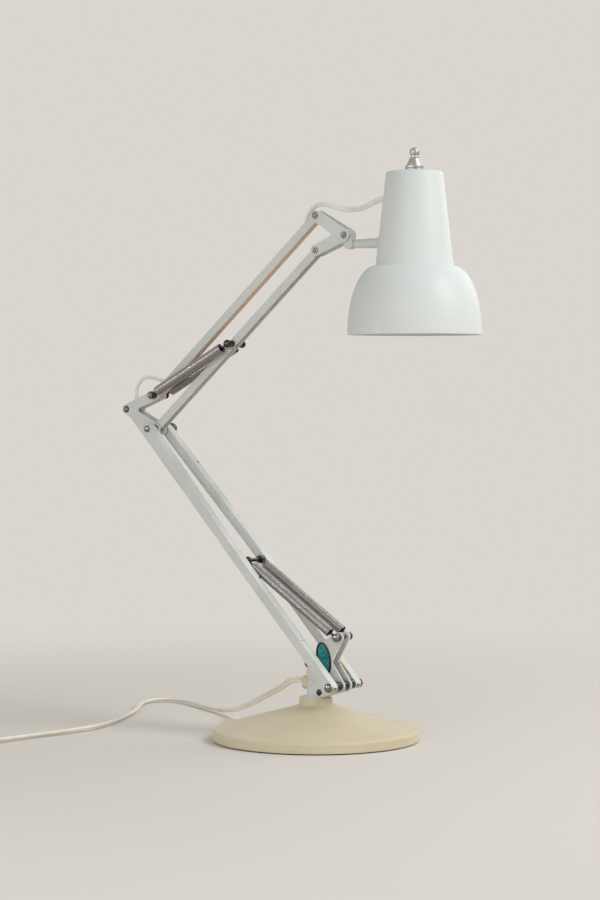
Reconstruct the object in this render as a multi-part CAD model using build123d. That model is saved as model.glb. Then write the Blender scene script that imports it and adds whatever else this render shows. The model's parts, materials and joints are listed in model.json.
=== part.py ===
from build123d import *
import math
import os

os.makedirs("parts", exist_ok=True)

# Spring-balanced task lamp. Millimetres, Z up, origin at the centre of the base's underside.
# The arms lie in the XZ plane with the shade towards +X, and Y runs across the arms.

# Shared fits
running_gap = 0.05
face_gap = 0.15
soft_gap = 0.3
overrun = 5.0
half_share = 0.5
dome_share = 0.8
edge_share = 0.45
quarter_turn = 90

# Base
base_radius = 100.0
base_rim_height = 11.0
base_rim_fillet = 4.0
cone_top_radius = 16.6
cone_top_height = 34.5
collar_radius = 15.9
collar_height = 42.2
collar_fillet = 0.8
cover_wall = 1.5
pad_thickness = 2.0
pad_inset = 2.5
weight_inset = 10.5
weight_height = 7.0
weight_hub_radius = 22.0
weight_hub_height = 24.0
socket_wall = 2.2
socket_flange_radius = 19.0
socket_flange_height = 2.5

# Swivel spigot and bracket
spigot_radius = 6.35
spigot_depth = 32.0
washer_radius = 13.0
washer_height = 1.0
tongue_height = 16.0
tongue_reach = 8.5
sheet_thickness = 2.0
bracket_gap = 10.0
bracket_rear = 7.0
bracket_front = 12.5
web_height = 21.0
bend_radius = 3.0
pivot_ear_radius = 6.0
anchor_ear_radius = 5.0
link_ear_radius = 4.4
waist_x = 14.5
waist_z = 77.0
waist_radius = 7.0
shoulder_x = 16.5
shoulder_z = 93.0
shoulder_radius = 5.5
rivet_radius = 1.8
rivet_head_radius = 3.1
rivet_head_height = 1.3
rivet_x = 8.3
rivet_low_z = 47.4
rivet_rear_x = -1.2
badge_x = 13.8
badge_z = 80.5
badge_width = 16.4
badge_height = 32.5
badge_lean = 12.0
badge_thickness = 0.8
grommet_z = 55.6
grommet_height = 13.0
grommet_width = 8.0
grommet_length = 8.0
grommet_wall = 2.0
grommet_fillet = 2.2

# Pivots, measured along the arms
base_pivot_x = 31.4
base_pivot_z = 55.0
spring_anchor_rise = 46.8
spring_anchor_shift = -0.8
lower_arm_length = 331.7
lower_arm_lean = 42.34
upper_arm_length = 261.85
upper_arm_rise = 41.86
tie_rise = 34.0
link_shift = -36.0
link_rise = 19.6
tilt_shift = 33.0
tilt_rise = 13.8
lower_spring_along = 157.0
lower_spring_offset = 1.2
upper_spring_along = 127.6

# Lower arm
lower_bar_size = 9.2
lower_bar_wall = 1.2
lower_bar_spread = 20.7
elbow_bar_spread = 14.0
bend_along = 178.0
elbow_straight = 14.0
link_width = 8.3
link_depth = 6.5
link_wall = 0.9

# Upper arm
upper_bar_size = 8.3
upper_bar_wall = 0.9
plate_clearance = 0.3
plate_thickness = 2.0
corner_radius = 4.8
tie_ear_radius = 5.2
main_ear_radius = 6.2
head_ear_radius = 5.3
tilt_ear_radius = 6.2
notch_fillet = 2.0

# Pivot hardware
bolt_radius = 2.5
bolt_head_radius = 4.6
bolt_head_height = 3.0
nut_radius = 4.6
nut_height = 4.0
elbow_head_radius = 3.6
elbow_head_height = 2.6
acorn_radius = 6.2
acorn_height = 9.0
spacer_radius = 4.6
pin_radius = 1.9
pin_head_radius = 3.4
pin_head_height = 2.4
cap_radius = 3.5
cap_height = 1.6

# Springs
spring_diameter = 9.6
spring_wire = 2.2
spring_curls = 24
lower_spring_spread = 10.6
upper_spring_spread = 11.8
eye_wall = 2.0
eye_thickness = 2.0
hook_radius = 1.1
hook_length = 7.6
plug_length = 7.0
plug_clearance = 0.25

# Head, its heights measured from the tilt pivot
stem_drop = 8.52
stem_radius = 4.9
stem_bore = 3.1
stem_start_gap = 1.2
knuckle_width = 8.2
knuckle_radius = 6.0
knuckle_foot_radius = 5.0
knuckle_foot_shift = 3.6
spigot_stub_length = 14.0
spigot_stub_radius = 3.05
flange_radius = 7.6
flange_length = 5.0
stem_nut_radius = 7.0
stem_nut_length = 4.0
shade_reach = 75.99
shade_rim_drop = 96.52
shade_rim_radius = 63.8
shade_crease_drop = 31.22
shade_crease_radius = 37.0
shade_top_rise = 57.98
shade_top_radius = 26.8
shade_top_fillet = 3.0
shade_wall = 1.2
cord_hole_rise = 33.28
cord_hole_radius = 3.9
cord_grommet_radius = 5.6
cord_grommet_lip = 1.6
holder_radius = 17.5
holder_height = 58.0
holder_wall = 3.8
holder_top_gap = 6.0
holder_seat_gap = 0.5
holder_roof = 36.80
holder_gap = 0.5
bulb_radius = 30.0
bulb_wall = 1.0
bulb_ball_height = 34.0
bulb_neck_radius = 14.5
bulb_glass_height = 82.0
bulb_cap_radius = 13.2
bulb_cap_height = 25.0
bulb_contact_radius = 5.0
bulb_contact_height = 2.0

# Switch on top of the shade
bushing_radius = 4.8
bushing_rise = 12.4
switch_nut_radius = 9.4
switch_nut_height = 5.6
switch_step_radius = 8.8
switch_cone_low_radius = 7.8
switch_neck_radius = 3.7
switch_neck_height = 2.6
switch_ball_radius = 4.8
switch_ball_height = 7.5
switch_ball_fillet = 2.4

# Flat twin flex
cord_width = 6.0
cord_thickness = 3.0
run_share = 0.45
lead_end_gap = 34.0
elbow_first_run = 12.0
elbow_last_run = 10.0
head_first_run = 8.0
head_last_run = 9.0

# Flex loops, X and Z from the tie bar's pivot at the elbow and at the head
elbow_route = [(-27.5, -18.2), (-28.0, -3.2), (-27.0, 9.8), (-17.5, 18.4), (-4.0, 18.0), (8.0, 13.8)]
head_route = [
    (-14.6, -8.4),
    (-12.2, 3.3),
    (-2.6, 10.5),
    (8.6, 11.3),
    (20.4, 7.7),
    (32.0, 4.7),
    (43.6, 4.3),
    (54.0, 6.5),
    (62.6, 10.3),
]

# Mains lead: route of the free stretch, from the grommet to the coil
mains_route = [
    (-15.0, 0.0, 57.6),
    (-28.0, 0.0, 57.6),
    (-48.0, 10.0, 46.5),
    (-82.0, 33.0, 34.0),
    (-116.0, 58.0, 20.8),
    (-149.0, 80.0, 10.0),
    (-181.0, 98.0, 4.0),
    (-212.0, 114.0, 3.2),
    (-242.0, 133.0, 3.2),
    (-268.0, 146.0, 3.2),
    (-288.0, 146.0, 3.2),
    (-300.0, 132.0, 3.2),
    (-298.0, 112.0, 3.2),
    (-285.0, 88.0, 3.2),
    (-266.0, 59.0, 3.2),
    (-246.0, 16.0, 3.2),
    (-227.0, -30.0, 3.2),
    (-218.5, -76.0, 3.2),
    (-227.0, -118.0, 3.2),
    (-236.0, -160.0, 3.4),
    (-241.0, -214.0, 4.2),
]
mains_last_run = 22.0
coil_turns = 2.5
coil_inner_radius = 26.0
coil_pitch = 6.6
coil_layer_rise = 6.6
coil_lift = 1.2
tie_width = 7.0
tie_thickness = 0.9
tie_slack = 0.25
tail_length = 16.0
plug_length_body = 28.0
plug_body_width = 24.0
plug_body_height = 20.0
plug_body_fillet = 4.0
plug_sleeve_length = 20.0
plug_sleeve_radius = 5.2
plug_sleeve_tip_radius = 3.8
blade_spacing = 12.7
blade_width = 6.35
blade_thickness = 1.5
blade_length = 17.5


# Points and directions in the arm plane
def in_plane(x, z):
    return Vector(x, 0, z)


def way_to(start, end):
    return (end - start).normalized()


def left_of(way):
    return Vector(-way.Z, 0, way.X)


lean = math.radians(lower_arm_lean)
rise = math.radians(upper_arm_rise)
lower_way = in_plane(-math.sin(lean), math.cos(lean))
upper_way = in_plane(math.cos(rise), math.sin(rise))
tie_offset = in_plane(0, tie_rise)
link_offset = in_plane(link_shift, link_rise)

base_pivot = in_plane(base_pivot_x, base_pivot_z)
spring_anchor = base_pivot + in_plane(spring_anchor_shift, spring_anchor_rise)
link_pivot = base_pivot + link_offset
elbow_pivot = base_pivot + lower_way * lower_arm_length
corner_pivot = elbow_pivot + link_offset
tie_pivot = elbow_pivot + tie_offset
head_pivot = elbow_pivot + upper_way * upper_arm_length
head_tie_pivot = head_pivot + tie_offset
tilt_pivot = head_pivot + in_plane(tilt_shift, tilt_rise)
lower_spring_point = base_pivot + lower_way * lower_spring_along - left_of(lower_way) * lower_spring_offset
upper_spring_point = elbow_pivot + upper_way * upper_spring_along


# Shapes across the arm plane
def across(profile, near, far):
    sheet = Plane(origin=(0, far, 0), x_dir=(1, 0, 0), z_dir=(0, -1, 0))
    return extrude(sheet * profile, amount=far - near)


def disc(point, radius):
    return Pos(point.X, point.Z) * Circle(radius)


def strap(first, first_radius, second, second_radius):
    ends = disc(first, first_radius).edges() + disc(second, second_radius).edges()
    return make_hull(ends)


def band(first, second, low, high, reach):
    way = way_to(first, second)
    side = left_of(way)
    start = first - way * reach
    end = second + way * reach
    corners = [start + side * low, end + side * low, end + side * high, start + side * high]
    return make_face(Polyline(*[(c.X, c.Z) for c in corners], close=True))


def pin(point, radius, near, far):
    return across(disc(point, radius), near, far)


def ring(point, radius, bore, near, far):
    return across(disc(point, radius) - disc(point, bore), near, far)


def domed(point, radius, height, face, way):
    near = min(face, face + way * height)
    head = pin(point, radius, near, near + height)
    outer = head.faces().sort_by(Axis.Y)[0 if way < 0 else -1]
    return fillet(outer.edges(), min(height, radius) * dome_share)


def both_sides(solid):
    return [solid, mirror(solid, about=Plane.XZ)]


def channel(first, second, width, depth, wall, opening):
    half = depth / 2
    bar = across(strap(first, half, second, half), -width / 2, width / 2)
    floor = wall - half
    low = floor if opening > 0 else -half - overrun
    high = half + overrun if opening > 0 else -floor
    inside = width / 2 - wall
    return bar - across(band(first, second, low, high, half + overrun), -inside, inside)


def write(name, *solids):
    parts = []
    for solid in solids:
        parts.extend(solid.solids())
    shape = parts[0] if len(parts) == 1 else Compound(children=parts)
    shape.label = name
    export_step(shape, f"parts/{name}.step")


# Wound and routed tubes
def biarc(start, start_way, end, end_way):
    chord = end - start
    both = start_way + end_way
    spread = 2 * (1 - start_way.dot(end_way))
    lean_in = chord.dot(both)
    reach = (math.sqrt(lean_in**2 + spread * chord.dot(chord)) - lean_in) / spread
    middle = (start + end + (start_way - end_way) * reach) / 2
    middle_way = (end - end_way * reach - start - start_way * reach).normalized()
    first = Edge.make_tangent_arc(start, start_way, middle)
    return [first, Edge.make_tangent_arc(middle, middle_way, end)]


def wound(place, turns, steps_per_turn, tube_radius, start_run, end_run):
    step = 1 / steps_per_turn
    nudge = step / 1000

    def way_at(turn):
        return (place(turn + nudge) - place(turn - nudge)).normalized()

    count = round(turns * steps_per_turn)
    edges = []
    for index in range(count):
        first = index * step
        last = first + step
        edges += biarc(place(first), way_at(first), place(last), way_at(last))
    start = place(0) - way_at(0) * start_run
    end = place(count * step) + way_at(count * step) * end_run
    path = Wire([Edge.make_line(start, place(0))] + edges + [Edge.make_line(place(count * step), end)])
    tube = sweep(Plane(origin=start, z_dir=way_at(0)) * Circle(tube_radius), path=path)
    share = tube.volume / (math.pi * tube_radius**2 * path.length)
    print("wound tube: length", round(path.length, 1), "volume over section times length", round(share, 4))
    return tube, start, way_at(0), end, way_at(count * step)


def least_gap(place, turns, tube_radius):
    samples = 48
    points = [place(index / samples) for index in range(round(turns * samples) + 1)]
    nearest = math.inf
    for first in range(0, len(points), 2):
        for second in range(first + samples // 2, len(points)):
            nearest = min(nearest, (points[first] - points[second]).length)
    return nearest - 2 * tube_radius


def routed(name, points, section):
    points = [Vector(*point) for point in points]
    radii = []
    for before, here, after in zip(points, points[1:], points[2:]):
        turn = math.radians((here - before).get_angle(after - here))
        shorter = min((here - before).length, (after - here).length)
        radii.append(run_share * shorter / math.tan(turn / 2))
    path = FilletPolyline(*points, radius=radii)
    start = Plane(origin=points[0], x_dir=(0, 1, 0), z_dir=way_to(points[0], points[1]))
    tube = sweep(start * section, path=path)
    share = tube.volume / (section.area * path.length)
    print(name, "length", round(path.length, 1), "volume over section times length", round(share, 4))
    print(name, "radii", [round(radius, 1) for radius in radii])
    return tube


# Base: cover, weight, pad and the socket for the spigot
rim_floor = pad_thickness / 2
outer = Polyline(
    (0, rim_floor),
    (base_radius, rim_floor),
    (base_radius, base_rim_height),
    (cone_top_radius, cone_top_height),
    (collar_radius, collar_height),
    (0, collar_height),
    close=True,
)
cover = revolve(Plane.XZ * make_face(outer), axis=Axis.Z)
rim_edge = cover.edges().filter_by(GeomType.CIRCLE).group_by(SortBy.RADIUS)[-1].sort_by(Axis.Z)[-1]
cover = fillet(rim_edge, base_rim_fillet)
cover = fillet(cover.faces().sort_by(Axis.Z)[-1].edges(), collar_fillet)
inner_rim = base_radius - cover_wall
inner = Polyline(
    (0, 0),
    (inner_rim, 0),
    (inner_rim, base_rim_height - base_rim_fillet),
    (inner_rim - base_rim_fillet, base_rim_height - cover_wall),
    (cone_top_radius - cover_wall, cone_top_height - cover_wall),
    (0, cone_top_height - cover_wall),
    close=True,
)
cover -= revolve(Plane.XZ * make_face(inner), axis=Axis.Z)
socket_radius = spigot_radius + running_gap + socket_wall
spigot_foot = collar_height + washer_height - spigot_depth
cover -= Cylinder(socket_radius + running_gap, collar_height, align=(Align.CENTER, Align.CENTER, Align.MIN))
write("base_cover", cover)

weight_floor = pad_thickness
weight = Cylinder(inner_rim - weight_inset, weight_height, align=(Align.CENTER, Align.CENTER, Align.MIN))
weight += Cylinder(weight_hub_radius, weight_hub_height, align=(Align.CENTER, Align.CENTER, Align.MIN))
weight -= Cylinder(
    socket_radius + running_gap, weight_hub_height, align=(Align.CENTER, Align.CENTER, Align.MIN)
)
weight = Pos(0, 0, weight_floor) * weight
write("base_weight", weight)

pad_radius = inner_rim - pad_inset
pad = Cylinder(pad_radius, pad_thickness, align=(Align.CENTER, Align.CENTER, Align.MIN))
write("base_pad", pad)

hub_top = weight_floor + weight_hub_height
socket_floor = spigot_foot - socket_wall
socket = Pos(0, 0, socket_floor) * Cylinder(
    socket_radius, collar_height - socket_floor, align=(Align.CENTER, Align.CENTER, Align.MIN)
)
socket += Pos(0, 0, hub_top) * Cylinder(
    socket_flange_radius - cover_wall, socket_flange_height, align=(Align.CENTER, Align.CENTER, Align.MIN)
)
socket -= Pos(0, 0, spigot_foot) * Cylinder(
    spigot_radius + running_gap, spigot_depth, align=(Align.CENTER, Align.CENTER, Align.MIN)
)
write("post_socket", socket)

# Swivel: spigot with its tongue, washer and the folded bracket
foot_z = collar_height + washer_height
tongue_half = bracket_gap / 2
spigot = Pos(0, 0, foot_z - spigot_depth) * Cylinder(
    spigot_radius, spigot_depth, align=(Align.CENTER, Align.CENTER, Align.MIN)
)
tongue_rear = bracket_rear - sheet_thickness
tongue = Pos(-tongue_rear, 0, foot_z) * Box(
    tongue_reach + tongue_rear + rivet_head_radius,
    bracket_gap,
    tongue_height,
    align=(Align.MIN, Align.CENTER, Align.MIN),
)
rivet_low = in_plane(rivet_x, rivet_low_z)
rivet_high = in_plane(rivet_rear_x, foot_z + tongue_height - rivet_head_radius)
tongue = tongue & Pos(0, 0, foot_z) * Cylinder(
    bracket_front, tongue_height, align=(Align.CENTER, Align.CENTER, Align.MIN)
)
cord_slot = Pos(-tongue_rear, 0, grommet_z) * Box(
    2 * (cord_width + running_gap), cord_width + 2 * soft_gap, tongue_height
)
rivet_points = [rivet_low, rivet_high]
plate_low = tongue_half
plate_high = tongue_half + sheet_thickness
spigot = spigot + tongue - cord_slot
for point in rivet_points:
    spigot -= pin(point, rivet_radius + running_gap, -plate_high, plate_high)
write("swivel_spigot", spigot)

washer = Pos(0, 0, collar_height) * Cylinder(
    washer_radius, washer_height, align=(Align.CENTER, Align.CENTER, Align.MIN)
)
washer -= Pos(0, 0, collar_height) * Cylinder(
    spigot_radius + running_gap, washer_height, align=(Align.CENTER, Align.CENTER, Align.MIN)
)
write("swivel_washer", washer)

waist = in_plane(waist_x, waist_z)
shoulder = in_plane(shoulder_x, shoulder_z)
plate = strap(spring_anchor, anchor_ear_radius, waist, waist_radius)
plate += strap(spring_anchor, anchor_ear_radius, shoulder, shoulder_radius)
plate += strap(waist, waist_radius, shoulder, shoulder_radius)
plate += strap(base_pivot, pivot_ear_radius, waist, waist_radius)
plate += strap(link_pivot, link_ear_radius, waist, waist_radius)
foot_outline = Polyline(
    (-bracket_rear, foot_z),
    (bracket_front, foot_z),
    (base_pivot_x, base_pivot_z - pivot_ear_radius),
    (waist_x, waist_z),
    (link_pivot.X, link_pivot.Z),
    (-bracket_rear, foot_z + web_height),
    close=True,
)
plate += make_face(foot_outline)
front_plate = across(plate, -plate_high, -plate_low)
rear_plate = across(plate, plate_low, plate_high)
web = Pos(-bracket_rear, 0, foot_z) * Box(
    sheet_thickness, 2 * plate_high, web_height, align=(Align.MIN, Align.CENTER, Align.MIN)
)
bracket = front_plate + rear_plate + web
for side in (-1, 1):
    corner = Pos(-bracket_rear, side * plate_high, foot_z) * Box(
        2 * bend_radius, 2 * bend_radius, web_height, align=(Align.CENTER, Align.CENTER, Align.MIN)
    )
    corner -= Pos(bend_radius - bracket_rear, side * (plate_high - bend_radius), foot_z) * Cylinder(
        bend_radius, web_height, align=(Align.CENTER, Align.CENTER, Align.MIN)
    )
    reach = Pos(bend_radius - bracket_rear, side * (plate_high - bend_radius), foot_z) * Box(
        2 * bend_radius, 2 * bend_radius, web_height, align=(Align.CENTER, Align.CENTER, Align.MIN)
    )
    corner = corner & reach
    bracket -= corner
for point, radius in [
    (base_pivot, bolt_radius),
    (spring_anchor, pin_radius),
    (link_pivot, pin_radius),
    (rivet_low, rivet_radius),
    (rivet_high, rivet_radius),
]:
    bracket -= pin(point, radius + running_gap, -plate_high - overrun, plate_high + overrun)
bracket -= Pos(-bracket_rear, 0, grommet_z) * Box(
    2 * (sheet_thickness + overrun),
    grommet_width - 2 * grommet_wall + 2 * running_gap,
    grommet_height - 2 * grommet_wall + 2 * running_gap,
)
write("base_bracket", bracket)

rivets = []
for point in rivet_points:
    rivet = pin(point, rivet_radius, -plate_high, plate_high)
    rivet += domed(point, rivet_head_radius, rivet_head_height, -plate_high, -1)
    rivet += domed(point, rivet_head_radius, rivet_head_height, plate_high, 1)
    rivets.append(rivet)
write("bracket_rivets", *rivets)

badge_outline = Pos(badge_x, badge_z) * Rot(0, 0, badge_lean) * Ellipse(badge_width / 2, badge_height / 2)
badge = across(badge_outline, -plate_high - badge_thickness, -plate_high)
badge = fillet(badge.faces().sort_by(Axis.Y)[0].edges(), badge_thickness * edge_share)
write("oval_badge", badge)

grommet = Pos(-bracket_rear, 0, grommet_z) * Box(
    grommet_length, grommet_width, grommet_height, align=(Align.MAX, Align.CENTER, Align.CENTER)
)
grommet = fillet(grommet.edges().filter_by(Axis.X), grommet_fillet)
grommet = fillet(grommet.faces().sort_by(Axis.X)[0].edges(), grommet_fillet * half_share)
grommet += Pos(-bracket_rear, 0, grommet_z) * Box(
    sheet_thickness,
    grommet_width - 2 * grommet_wall,
    grommet_height - 2 * grommet_wall,
    align=(Align.MIN, Align.CENTER, Align.CENTER),
)
write("cord_grommet", grommet)

# Lower arm bars, bent in between the spring pin and the elbow
plan = Plane(origin=base_pivot, x_dir=lower_way, z_dir=left_of(lower_way))
lower_half = lower_bar_size / 2


def bent_strip(side, half_width):
    reach = lower_half + overrun
    line = [
        (-reach, lower_bar_spread),
        (bend_along, lower_bar_spread),
        (lower_arm_length - elbow_straight, elbow_bar_spread),
        (lower_arm_length + reach, elbow_bar_spread),
    ]
    edge_out = [(along, side * (spread + half_width)) for along, spread in line]
    edge_in = [(along, side * (spread - half_width)) for along, spread in reversed(line)]
    return make_face(Polyline(*edge_out, *edge_in, close=True))


def lower_bar(side):
    wide = lower_bar_spread + lower_bar_size
    ends = across(strap(base_pivot, lower_half, elbow_pivot, lower_half), -wide, wide)
    bar = extrude(plan * bent_strip(side, lower_half), amount=lower_half, both=True) & ends
    floor = plan.offset(lower_bar_wall - lower_half)
    bar -= extrude(floor * bent_strip(side, lower_half - lower_bar_wall), amount=lower_bar_size + overrun)
    for point, radius in [(base_pivot, bolt_radius), (elbow_pivot, bolt_radius)]:
        bar -= pin(point, radius + running_gap, -wide, wide)
    inner_wall = lower_bar_spread - lower_half + lower_bar_wall
    bar -= pin(lower_spring_point, pin_radius + running_gap, -inner_wall, inner_wall)
    return bar


write("lower_bar_front", lower_bar(-1))
write("lower_bar_rear", lower_bar(1))

lower_outer = lower_bar_spread + lower_half
lower_inner = lower_bar_spread - lower_half
elbow_outer = elbow_bar_spread + lower_half
elbow_inner = elbow_bar_spread - lower_half
plate_inner = upper_bar_size / 2 + plate_clearance
plate_outer = plate_inner + plate_thickness

bolt = pin(base_pivot, bolt_radius, -lower_outer - face_gap, lower_outer + face_gap + nut_height)
bolt += domed(base_pivot, bolt_head_radius, bolt_head_height, -lower_outer - face_gap, -1)
write("base_pivot_bolt", bolt)
base_nut_start = lower_outer + face_gap
nut = ring(base_pivot, nut_radius, bolt_radius + running_gap, base_nut_start, lower_outer + nut_height)
write("base_pivot_nut", nut)
bore = bolt_radius + running_gap
spacer = ring(base_pivot, spacer_radius, bore, plate_high, lower_inner - face_gap)
middle = ring(base_pivot, spacer_radius, bore, -plate_low, plate_low)
write("base_pivot_spacers", *both_sides(spacer), middle)

post_end = lower_spring_spread + eye_thickness / 2 + soft_gap
anchor = pin(spring_anchor, pin_radius, -post_end, post_end)
anchor += domed(spring_anchor, cap_radius, pin_head_height, -post_end, -1)
anchor += domed(spring_anchor, cap_radius, pin_head_height, post_end, 1)
collar_low = lower_spring_spread - eye_thickness / 2 - soft_gap
anchor += ring(spring_anchor, cap_radius, pin_radius * half_share, plate_high, collar_low)
anchor += ring(spring_anchor, cap_radius, pin_radius * half_share, -collar_low, -plate_high)
write("lower_spring_post", anchor)

link_post = pin(link_pivot, pin_radius, -plate_high, plate_high)
link_post += domed(link_pivot, pin_head_radius, cap_height, -plate_high, -1)
link_post += domed(link_pivot, pin_head_radius, cap_height, plate_high, 1)
write("lower_link_pin", link_post)

pin_end = lower_outer - lower_bar_wall - face_gap
cross_pin = pin(lower_spring_point, pin_radius, -pin_end, pin_end)
for side in (-1, 1):
    for edge in (-1, 1):
        face = side * (lower_spring_spread + edge * (eye_thickness / 2 + soft_gap))
        far = face + side * edge * cap_height
        cross_pin += pin(lower_spring_point, cap_radius, min(face, far), max(face, far))
write("lower_spring_pin", cross_pin)

elbow_bolt = pin(elbow_pivot, bolt_radius, -elbow_outer, elbow_outer + acorn_height * half_share)
elbow_bolt += domed(elbow_pivot, elbow_head_radius, elbow_head_height, -elbow_outer, -1)
write("elbow_bolt", elbow_bolt)
acorn = domed(elbow_pivot, acorn_radius, acorn_height, elbow_outer, 1)
acorn -= pin(elbow_pivot, bore, elbow_outer, elbow_outer + acorn_height * half_share + running_gap)
write("elbow_nut", acorn)
elbow_spacer = ring(elbow_pivot, spacer_radius, bore, plate_outer + face_gap, elbow_inner)
write("elbow_spacers", *both_sides(elbow_spacer))

# Slim link that keeps the elbow level, with the flex inside it
link = channel(link_pivot, corner_pivot, link_width, link_depth, link_wall, -1)
for point in (link_pivot, corner_pivot):
    link -= pin(point, pin_radius + running_gap, -link_width, link_width)
write("lower_link", link)


def lead_in(first, second, depth, wall, opening):
    way = way_to(first, second)
    start = first + way * lead_end_gap
    end = second - way * lead_end_gap
    floor = opening * (wall - depth / 2)
    roof = floor + opening * cord_thickness
    strip = band(start, end, min(floor, roof), max(floor, roof), 0)
    lead = across(strip, -cord_width / 2, cord_width / 2)
    middle = left_of(way) * ((floor + roof) / 2)
    return lead, start + middle, end + middle


lower_lead, lower_lead_start, lower_lead_end = lead_in(link_pivot, corner_pivot, link_depth, link_wall, -1)
write("lower_lead", lower_lead)

# Elbow: two V plates, the corner pin and the spring post
elbow_plate = strap(corner_pivot, corner_radius, tie_pivot, tie_ear_radius)
elbow_plate += strap(corner_pivot, corner_radius, elbow_pivot, main_ear_radius)


def plate_pair(outline, holes):
    solid = across(outline, plate_inner, plate_outer)
    middle = sum((hole for hole, radius in holes), Vector()) / len(holes)
    corners = solid.edges().filter_by(Axis.Y)
    nearest = min(corners, key=lambda edge: (edge.center() - middle).cross(Vector(0, 1, 0)).length)
    solid = fillet(nearest, notch_fillet)
    for point, radius in holes:
        solid -= pin(point, radius + running_gap, plate_inner - overrun, plate_outer + overrun)
    return both_sides(solid)


write(
    "elbow_plates",
    *plate_pair(
        elbow_plate,
        [(corner_pivot, pin_radius), (tie_pivot, pin_radius), (elbow_pivot, bolt_radius)],
    ),
)
corner_pin = pin(corner_pivot, pin_radius, -plate_outer, plate_outer)
corner_pin += domed(corner_pivot, pin_head_radius, pin_head_height, -plate_outer, -1)
corner_pin += domed(corner_pivot, pin_head_radius, pin_head_height, plate_outer, 1)
write("elbow_corner_pin", corner_pin)


def spring_bolt(point, seat, spread):
    end = spread + eye_thickness / 2 + soft_gap
    near = spread - eye_thickness / 2 - soft_gap
    bolt = pin(point, pin_radius, -end, end)
    for side in (-1, 1):
        bolt += domed(point, cap_radius, pin_head_height, side * end, side)
        bolt += pin(point, cap_radius, min(side * seat, side * near), max(side * seat, side * near))
    return bolt


write("upper_spring_post", spring_bolt(tie_pivot, plate_outer, upper_spring_spread))

# Upper arm: main bar below, tie bar above with the flex in it
main_bar = channel(elbow_pivot, head_pivot, upper_bar_size, upper_bar_size, upper_bar_wall, -1)
upper_bar_holes = [(elbow_pivot, bolt_radius), (head_pivot, pin_radius), (upper_spring_point, pin_radius)]
for point, radius in upper_bar_holes:
    main_bar -= pin(point, radius + running_gap, -upper_bar_size, upper_bar_size)
write("main_bar", main_bar)
write("upper_spring_pin", spring_bolt(upper_spring_point, upper_bar_size / 2, upper_spring_spread))

tie_bar = channel(tie_pivot, head_tie_pivot, upper_bar_size, upper_bar_size, upper_bar_wall, 1)
for point in (tie_pivot, head_tie_pivot):
    tie_bar -= pin(point, pin_radius + running_gap, -upper_bar_size, upper_bar_size)
write("tie_bar", tie_bar)
upper_lead, upper_lead_start, upper_lead_end = lead_in(
    tie_pivot, head_tie_pivot, upper_bar_size, upper_bar_wall, 1
)
write("upper_lead", upper_lead)

# Springs: a wound tube between two hooks, each hook with an eye on its pin
coil_radius = (spring_diameter - spring_wire) / 2


def springs(name, near_pin, far_pin, spread):
    span = (far_pin - near_pin).length
    way = way_to(near_pin, far_pin)
    coil_length = span - 2 * hook_length
    pitch = (coil_length - spring_wire) / spring_curls

    def place(turn):
        angle = 2 * math.pi * turn
        return Vector(coil_radius * math.cos(angle), coil_radius * math.sin(angle), pitch * turn)

    tube = wound(place, spring_curls, 2, spring_wire / 2, spring_wire, spring_wire)[0]
    print(name, "least gap", round(least_gap(place, spring_curls, spring_wire / 2), 2))
    plug_radius = coil_radius - spring_wire / 2 - plug_clearance
    coils = []
    near_hooks = []
    far_hooks = []
    for side in (-1, 1):
        shift = Vector(0, side * spread, 0)
        seat_point = near_pin + shift + way * (hook_length + spring_wire / 2)
        seat = Plane(origin=seat_point, x_dir=(0, 1, 0), z_dir=way)
        coils.append(seat.location * tube)
        for anchor_point, facing, hooks in [(near_pin, way, near_hooks), (far_pin, -way, far_hooks)]:
            low = side * spread - eye_thickness / 2
            eye_bore = pin_radius + running_gap
            hook = ring(anchor_point, eye_bore + eye_wall, eye_bore, low, low + eye_thickness)
            root_point = anchor_point + shift + facing * (eye_bore + eye_wall * half_share)
            root = Plane(origin=root_point, z_dir=facing)
            reach = hook_length + plug_length - eye_bore - eye_wall * half_share
            hook += extrude(root * Circle(hook_radius), amount=reach)
            sleeve = Plane(origin=anchor_point + shift + facing * hook_length, z_dir=facing)
            hook += extrude(sleeve * Circle(plug_radius), amount=plug_length)
            hooks.append(hook)
    return coils, near_hooks, far_hooks


coils, near_hooks, far_hooks = springs("lower spring", spring_anchor, lower_spring_point, lower_spring_spread)
write("lower_spring_coils", *coils)
write("lower_spring_hooks", *near_hooks)
write("lower_spring_eyes", *far_hooks)
coils, near_hooks, far_hooks = springs("upper spring", tie_pivot, upper_spring_point, upper_spring_spread)
write("upper_spring_coils", *coils)
write("upper_spring_hooks", *near_hooks)
write("upper_spring_eyes", *far_hooks)

# Head bracket: two V plates and their bolts
head_plate = strap(tilt_pivot, tilt_ear_radius, head_pivot, head_ear_radius)
head_plate += strap(tilt_pivot, tilt_ear_radius, head_tie_pivot, head_ear_radius)
write(
    "head_plates",
    *plate_pair(
        head_plate,
        [(tilt_pivot, pin_radius), (head_pivot, pin_radius), (head_tie_pivot, pin_radius)],
    ),
)
for name, point in [
    ("head_main_bolt", head_pivot),
    ("head_tie_bolt", head_tie_pivot),
    ("tilt_bolt", tilt_pivot),
]:
    bolt = pin(point, pin_radius, -plate_outer, plate_outer)
    bolt += domed(point, pin_head_radius, pin_head_height, -plate_outer, -1)
    bolt += domed(point, pin_head_radius, pin_head_height, plate_outer, 1)
    write(name, bolt)

# Head heights, hung on the tilt pivot
shade_x = tilt_pivot.X + shade_reach
stem_z = tilt_pivot.Z - stem_drop
shade_rim_z = tilt_pivot.Z - shade_rim_drop
shade_crease_z = tilt_pivot.Z - shade_crease_drop
shade_top_z = tilt_pivot.Z + shade_top_rise
cord_hole_z = tilt_pivot.Z + cord_hole_rise

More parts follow.
